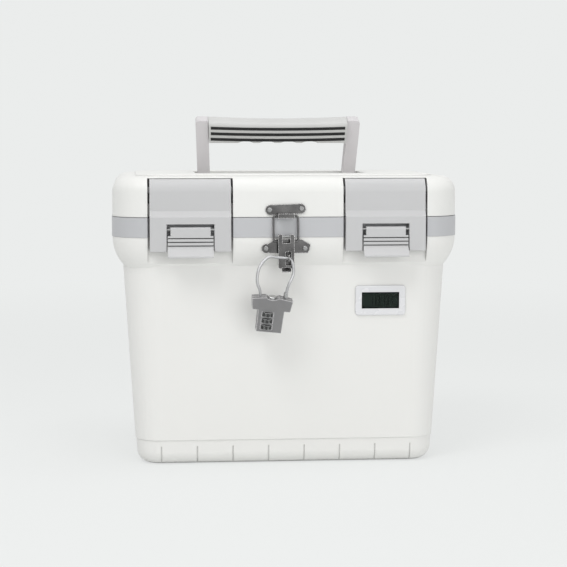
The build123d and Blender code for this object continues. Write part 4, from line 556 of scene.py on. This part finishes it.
# The cable's route, in metres: from the lock's left seat over the eye and down to the right seat
CABLE_ROUTE = (
    (-0.0281, -0.13451, 0.16251),
    (-0.02727, -0.13643, 0.17023),
    (-0.031, -0.1374, 0.177),
    (-0.0306, -0.1366, 0.186),
    (-0.0282, -0.1346, 0.1936),
    (-0.0228, -0.1327, 0.2),
    (-0.0174, -0.1318, 0.2024),
    (-0.0124, -0.1314, 0.2012),
    (-0.008, -0.1312, 0.2009),
    (-0.0035, -0.1311, 0.2005),
    (0.0013, -0.1311, 0.1999),
    (0.0036, -0.132, 0.1936),
    (0.0037, -0.134, 0.1848),
    (-0.00327, -0.13704, 0.17266),
    (-0.00463, -0.13391, 0.16011),
)


class TRANSPORTBOX_OT_lock_cable(bpy.types.Operator):
    """Run the lock's sleeved cable along its route, with its end fitting"""

    bl_idname = "transportbox.lock_cable"
    bl_label = "Lock cable"

    def execute(self, context):
        colours = context.scene.transport_box_colours
        sizes = context.scene.transport_box_sizes
        curve = bpy.data.curves.new("cable", "CURVE")
        curve.dimensions = "3D"
        spline = curve.splines.new("NURBS")
        spline.points.add(len(CABLE_ROUTE) - 1)
        for point, place in zip(spline.points, CABLE_ROUTE):
            point.co = (*place, 1.0)
        spline.order_u = 3
        spline.use_endpoint_u = True
        spline.resolution_u = 12
        curve.bevel_depth = sizes.cable / 2
        curve.bevel_resolution = 6
        curve.use_fill_caps = True
        cable = bpy.data.objects.new("cable", curve)
        context.scene.collection.objects.link(cable)
        curve.materials.append(sleeved_cable("sleeved_strands", colours.cable))
        bright = polished_sheet("cable_fitting", colours.bright, 0.2)
        ferrule = smooth_copy("cable_ferrule", "cable_end", bright, "lock_bright")
        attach(cable, "lock")
        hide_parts("lock_cable")
        return {"FINISHED"}


# The thermometer's face: its middle on the front wall, and how far the wall leans forward
GAUGE_MIDDLE = (89.0 * MM, -107.99 * MM, 158.2 * MM)
GAUGE_LEAN = radians(3.62)

# How far out of that face the display's figures and its border lie
GLASS_OUT = -0.35 * MM
FIGURES_OUT = GLASS_OUT + 0.05 * MM
BORDER_OUT = GLASS_OUT + 0.02 * MM

# A figure of the display: half of its width and height, and how far below the middle it sits
FIGURE_HALF_WIDE, FIGURE_HALF_HIGH = 1.9 * MM, 3.9 * MM
FIGURE_DROP = 0.3 * MM

# A bar of a figure, and the cut of its pointed ends as a share of its width
BAR_LENGTH, BAR_WIDTH, BAR_THICK = 3.5 * MM, 0.9 * MM, 0.06 * MM
BAR_POINT = 0.42

# The black border of the display
BORDER_SIZE = (37.0 * MM, 17.0 * MM)
BORDER_DROP = 0.2 * MM
BORDER_WIDTH, BORDER_THICK = 1.7 * MM, 0.05 * MM

# Bars of a seven-bar figure: across and up in half figures, and whether the bar stands
FIGURE_BARS = {
    "top": (0.0, 1.0, False),
    "upper_left": (-1.0, 0.5, True),
    "upper_right": (1.0, 0.5, True),
    "middle": (0.0, 0.0, False),
    "lower_left": (-1.0, -0.5, True),
    "lower_right": (1.0, -0.5, True),
    "bottom": (0.0, -1.0, False),
}

# Each figure's place across the display, and the bars that show
FIGURES = (
    (-9.2 * MM, ("upper_right", "lower_right")),
    (-2.4 * MM, tuple(FIGURE_BARS)),
    (6.0 * MM, ("top", "upper_left", "upper_right", "lower_left", "lower_right", "bottom")),
    (13.4 * MM, ("top", "upper_left", "lower_left", "bottom")),
)


def on_gauge(piece, across, up, out):
    """Turns a piece made flat on the ground to lie on the thermometer's face, at a place there."""
    only(piece)
    stand = Matrix.Rotation(radians(90.0) + GAUGE_LEAN, 4, "X")
    spot = Vector(GAUGE_MIDDLE) + stand.to_3x3() @ Vector((across, up, out))
    piece.matrix_world = Matrix.Translation(spot) @ stand @ piece.matrix_world
    bpy.ops.object.transform_apply(location=True, rotation=True, scale=True)


def figure_bar(name):
    """One bar of a figure, flat on the ground, with pointed ends."""
    nothing_selected()
    bpy.ops.mesh.primitive_cube_add(size=1.0, location=(0.0, 0.0, 0.0))
    bar = bpy.context.object
    bar.name = name
    bar.scale = (BAR_LENGTH, BAR_WIDTH, BAR_THICK)
    bpy.ops.object.transform_apply(location=False, rotation=False, scale=True)
    edit(bar)
    pick_edges(bar, lambda start, end: abs(start.z - end.z) > BAR_THICK / 2)
    bpy.ops.mesh.bevel(offset=BAR_POINT * BAR_WIDTH, segments=1, affect="EDGES")
    close_edit()
    return bar


def copy_of(piece, name, turn):
    """A copy of a flat piece with its own mesh, turned on the ground."""
    twin = piece.copy()
    twin.data = piece.data.copy()
    twin.name = name
    twin.matrix_world = Matrix.Rotation(turn, 4, "Z")
    bpy.context.scene.collection.objects.link(twin)
    return twin


def joined(pieces, name):
    """Several meshes made into one piece."""
    nothing_selected()
    for piece in pieces:
        piece.select_set(True)
    bpy.context.view_layer.objects.active = pieces[0]
    bpy.ops.object.join()
    pieces[0].name = name
    return pieces[0]


def display_figures():
    """The temperature shown by the display, as thin bars on its glass."""
    pattern = figure_bar("bar_pattern")
    bars = []
    for place, shown in FIGURES:
        for bar_name in shown:
            across, up, stands = FIGURE_BARS[bar_name]
            bar = copy_of(pattern, f"bar_{len(bars)}", radians(90.0) if stands else 0.0)
            aside = place + FIGURE_HALF_WIDE * across
            above = FIGURE_HALF_HIGH * up - FIGURE_DROP
            on_gauge(bar, aside, above, FIGURES_OUT)
            bars.append(bar)
    bpy.data.objects.remove(pattern)
    return joined(bars, "display_figures")


def display_mask():
    """The black border round the display, between its glass and the window."""
    nothing_selected()
    bpy.ops.mesh.primitive_plane_add(size=1.0, location=(0.0, 0.0, 0.0))
    mask = bpy.context.object
    mask.name = "display_mask"
    mask.scale = (*BORDER_SIZE, 1.0)
    bpy.ops.object.transform_apply(location=False, rotation=False, scale=True)
    edit(mask)
    bpy.ops.mesh.select_all(action="SELECT")
    bpy.ops.mesh.inset(thickness=BORDER_WIDTH)
    bpy.ops.mesh.delete(type="FACE")
    bpy.ops.mesh.select_all(action="SELECT")
    bpy.ops.mesh.extrude_region_move(TRANSFORM_OT_translate={"value": (0.0, 0.0, BORDER_THICK)})
    close_edit()
    on_gauge(mask, 0.0, -BORDER_DROP, BORDER_OUT)
    return mask


class TRANSPORTBOX_OT_thermometer(bpy.types.Operator):
    """Finish the panel thermometer and draw its figures"""

    bl_idname = "transportbox.thermometer"
    bl_label = "Thermometer"

    def execute(self, context):
        colours = context.scene.transport_box_colours
        sizes = context.scene.transport_box_sizes
        edge, fine, smooth = sizes.edge, 0.6 * MM, 2.0 * MM
        thin, printed = 0.1 * MM, 0.02 * MM
        # The case gets a painted highlight along its edges
        case = moulded("thermometer_case", colours.gauge, 0.26, edge, fine, gloss=1.0, highlight_gain=1.25)
        display = moulded("liquid_crystal", colours.display, 0.3, thin, smooth, gloss=0.08)
        board = moulded("circuit_board", colours.board, 0.4, thin, 1.0 * MM)
        steel = polished_sheet("cell_cans", colours.bright, 0.25)
        rubber = soft_rubber("grommet_rubber", colours.grommet)
        window = clear_window("clear_window")
        for node, name, material, slot in (
            ("thermometer_case", "gauge_case", case, "gauge_case"),
            ("thermometer_back", "gauge_back", case, "gauge_case"),
            ("thermometer_lens", "gauge_window", window, "gauge_lens"),
            ("thermometer_display", "gauge_display", display, "gauge_lcd"),
            ("thermometer_board", "gauge_board", board, "gauge_board"),
            ("thermometer_cells", "gauge_cells", steel, "cell_steel"),
            ("probe_grommet", "probe_grommet_ring", rubber, "grommet"),
        ):
            smooth_copy(node, name, material, slot)
        figure = moulded("dark_segments", colours.digit, 0.5, printed, smooth, gloss=0.05)
        border = moulded("display_border", colours.border, 0.5, printed, smooth, gloss=0.05)
        dress(display_figures(), figure, "root", "gauge_lcd")
        dress(display_mask(), border, "root", "gauge_lcd")
        return {"FINISHED"}


# The studio, in metres and watts: the paper, the lamps and where the camera stands and looks
PAPER_SIZE = 14.0
PAPER_NEAR, PAPER_FAR = 0.5, 2.0
PAPER_OWN_LIGHT = 0.72
AMBIENT_LIGHT = 0.60
SOFTBOXES = (
    ("key_softbox", (-0.9, -1.3, 2.1), 18.5, 1.0),
    ("top_softbox", (0.3, -0.2, 2.4), 12.0, 1.4),
    ("front_softbox", (0.9, -2.1, 0.6), 11.0, 1.4),
)
LAMPS_AIM = Vector((0.0, 0.0, 0.15))
CAMERA_EYE = Vector((-145.74, -1721.15, 316.32)) * MM
CAMERA_AIM = Vector((5.9, 0.5, 165.2)) * MM
SENSOR_WIDTH, LENS_LENGTH = 36.0, 108.79


def facing(place, target):
    """The turn of a lamp or a camera that stands at a place and looks at a target."""
    return (target - Vector(place)).to_track_quat("-Z", "Y").to_euler()


def seen_directly(nodes, links):
    """Is one for rays from the camera, from polished metal and through clear pieces."""
    rays = nodes.new("ShaderNodeLightPath")
    near, seen = nodes.new("ShaderNodeMath"), nodes.new("ShaderNodeMath")
    near.operation = seen.operation = "MAXIMUM"
    links.new(rays.outputs["Is Camera Ray"], near.inputs[0])
    links.new(rays.outputs["Is Transmission Ray"], near.inputs[1])
    links.new(near.outputs["Value"], seen.inputs[0])
    links.new(rays.outputs["Is Glossy Ray"], seen.inputs[1])
    return seen.outputs["Value"]


def studio_paper(name, colour):
    """Seamless paper: partly its own even light near the box, and wholly so far from it."""
    finish = Finish(name, colour, roughness=0.95)
    finish.shader.inputs["Specular IOR Level"].default_value = 0.1
    finish.tint(finish.spread(finish.noise(scale=3.0)), darker=0.995)
    glow = finish.nodes.new("ShaderNodeEmission")
    glow.inputs["Color"].default_value = shade(colour)
    away = finish.nodes.new("ShaderNodeVectorMath")
    away.operation = "LENGTH"
    share = finish.nodes.new("ShaderNodeMath")
    share.operation = "MULTIPLY"
    mix = finish.nodes.new("ShaderNodeMixShader")
    finish.links.new(finish.place, away.inputs[0])
    distance = away.outputs["Value"]
    evened = finish.map_range(distance, PAPER_NEAR, PAPER_FAR, low=PAPER_OWN_LIGHT)
    evened.interpolation_type = "SMOOTHSTEP"
    finish.links.new(evened.outputs["Result"], share.inputs[1])
    finish.links.new(seen_directly(finish.nodes, finish.links), share.inputs[0])
    finish.links.new(share.outputs["Value"], mix.inputs["Fac"])
    finish.links.new(finish.shader.outputs["BSDF"], mix.inputs[1])
    finish.links.new(glow.outputs["Emission"], mix.inputs[2])
    finish.links.new(mix.outputs["Shader"], finish.nodes["Material Output"].inputs["Surface"])
    return finish.material


class TRANSPORTBOX_OT_stage(bpy.types.Operator):
    """Set the seamless pale floor, the soft lights and the camera"""

    bl_idname = "transportbox.stage"
    bl_label = "Studio stage"

    def execute(self, context):
        colours = context.scene.transport_box_colours
        nothing_selected()
        bpy.ops.mesh.primitive_plane_add(size=PAPER_SIZE, location=(0.0, 0.0, 0.0))
        floor = context.object
        floor.name = "studio_floor"
        floor.data.materials.append(studio_paper("studio_paper", colours.floor))

        world = bpy.data.worlds.new("studio_world")
        context.scene.world = world
        world.use_nodes = True
        nodes, links = world.node_tree.nodes, world.node_tree.links
        ambient = nodes["Background"]
        ambient.inputs["Color"].default_value = (1.0, 1.0, 1.0, 1.0)
        ambient.inputs["Strength"].default_value = AMBIENT_LIGHT
        backdrop = nodes.new("ShaderNodeBackground")
        backdrop.inputs["Color"].default_value = shade(colours.floor)
        mix = nodes.new("ShaderNodeMixShader")
        links.new(seen_directly(nodes, links), mix.inputs["Fac"])
        links.new(ambient.outputs["Background"], mix.inputs[1])
        links.new(backdrop.outputs["Background"], mix.inputs[2])
        links.new(mix.outputs["Shader"], nodes["World Output"].inputs["Surface"])

        for name, place, power, size in SOFTBOXES:
            bpy.ops.object.light_add(type="AREA", location=place)
            lamp = context.object
            lamp.name = name
            lamp.data.energy = power
            lamp.data.size = size
            lamp.rotation_euler = facing(place, LAMPS_AIM)

        bpy.ops.object.camera_add(location=CAMERA_EYE)
        camera = context.object
        camera.name = "photo_camera"
        camera.data.sensor_width = SENSOR_WIDTH
        camera.data.lens = LENS_LENGTH
        camera.rotation_euler = facing(CAMERA_EYE, CAMERA_AIM)
        context.scene.camera = camera
        context.scene.view_settings.view_transform = "Standard"
        return {"FINISHED"}


class TRANSPORTBOX_PT_build(bpy.types.Panel):
    """Lists the steps that dress the box"""

    bl_label = "Transport box"
    bl_idname = "TRANSPORTBOX_PT_build"
    bl_space_type = "VIEW_3D"
    bl_region_type = "UI"
    bl_category = "Transport box"

    def draw(self, context):
        layout = self.layout
        for step in STEPS:
            layout.operator(step.bl_idname)
        for group in (context.scene.transport_box_colours, context.scene.transport_box_sizes):
            for name in group.bl_rna.properties.keys():
                if name not in ("rna_type", "name"):
                    layout.prop(group, name)


STEPS = (
    TRANSPORTBOX_OT_shells,
    TRANSPORTBOX_OT_side_latches,
    TRANSPORTBOX_OT_handle,
    TRANSPORTBOX_OT_draw_latch,
    TRANSPORTBOX_OT_lock,
    TRANSPORTBOX_OT_lock_cable,
    TRANSPORTBOX_OT_thermometer,
    TRANSPORTBOX_OT_stage,
)
CLASSES = (TransportBoxColours, TransportBoxSizes, *STEPS, TRANSPORTBOX_PT_build)


def register():
    """Adds the box's settings, steps and panel."""
    for item in CLASSES:
        bpy.utils.register_class(item)
    bpy.types.Scene.transport_box_colours = bpy.props.PointerProperty(type=TransportBoxColours)
    bpy.types.Scene.transport_box_sizes = bpy.props.PointerProperty(type=TransportBoxSizes)


def unregister():
    """Takes the box's settings, steps and panel away."""
    del bpy.types.Scene.transport_box_colours
    del bpy.types.Scene.transport_box_sizes
    for item in reversed(CLASSES):
        bpy.utils.unregister_class(item)


def main():
    """Runs the steps in order."""
    register()
    bpy.ops.transportbox.shells()
    bpy.ops.transportbox.side_latches()
    bpy.ops.transportbox.handle()
    bpy.ops.transportbox.draw_latch()
    bpy.ops.transportbox.lock()
    bpy.ops.transportbox.lock_cable()
    bpy.ops.transportbox.thermometer()
    bpy.ops.transportbox.stage()


if __name__ == "__main__":
    main()
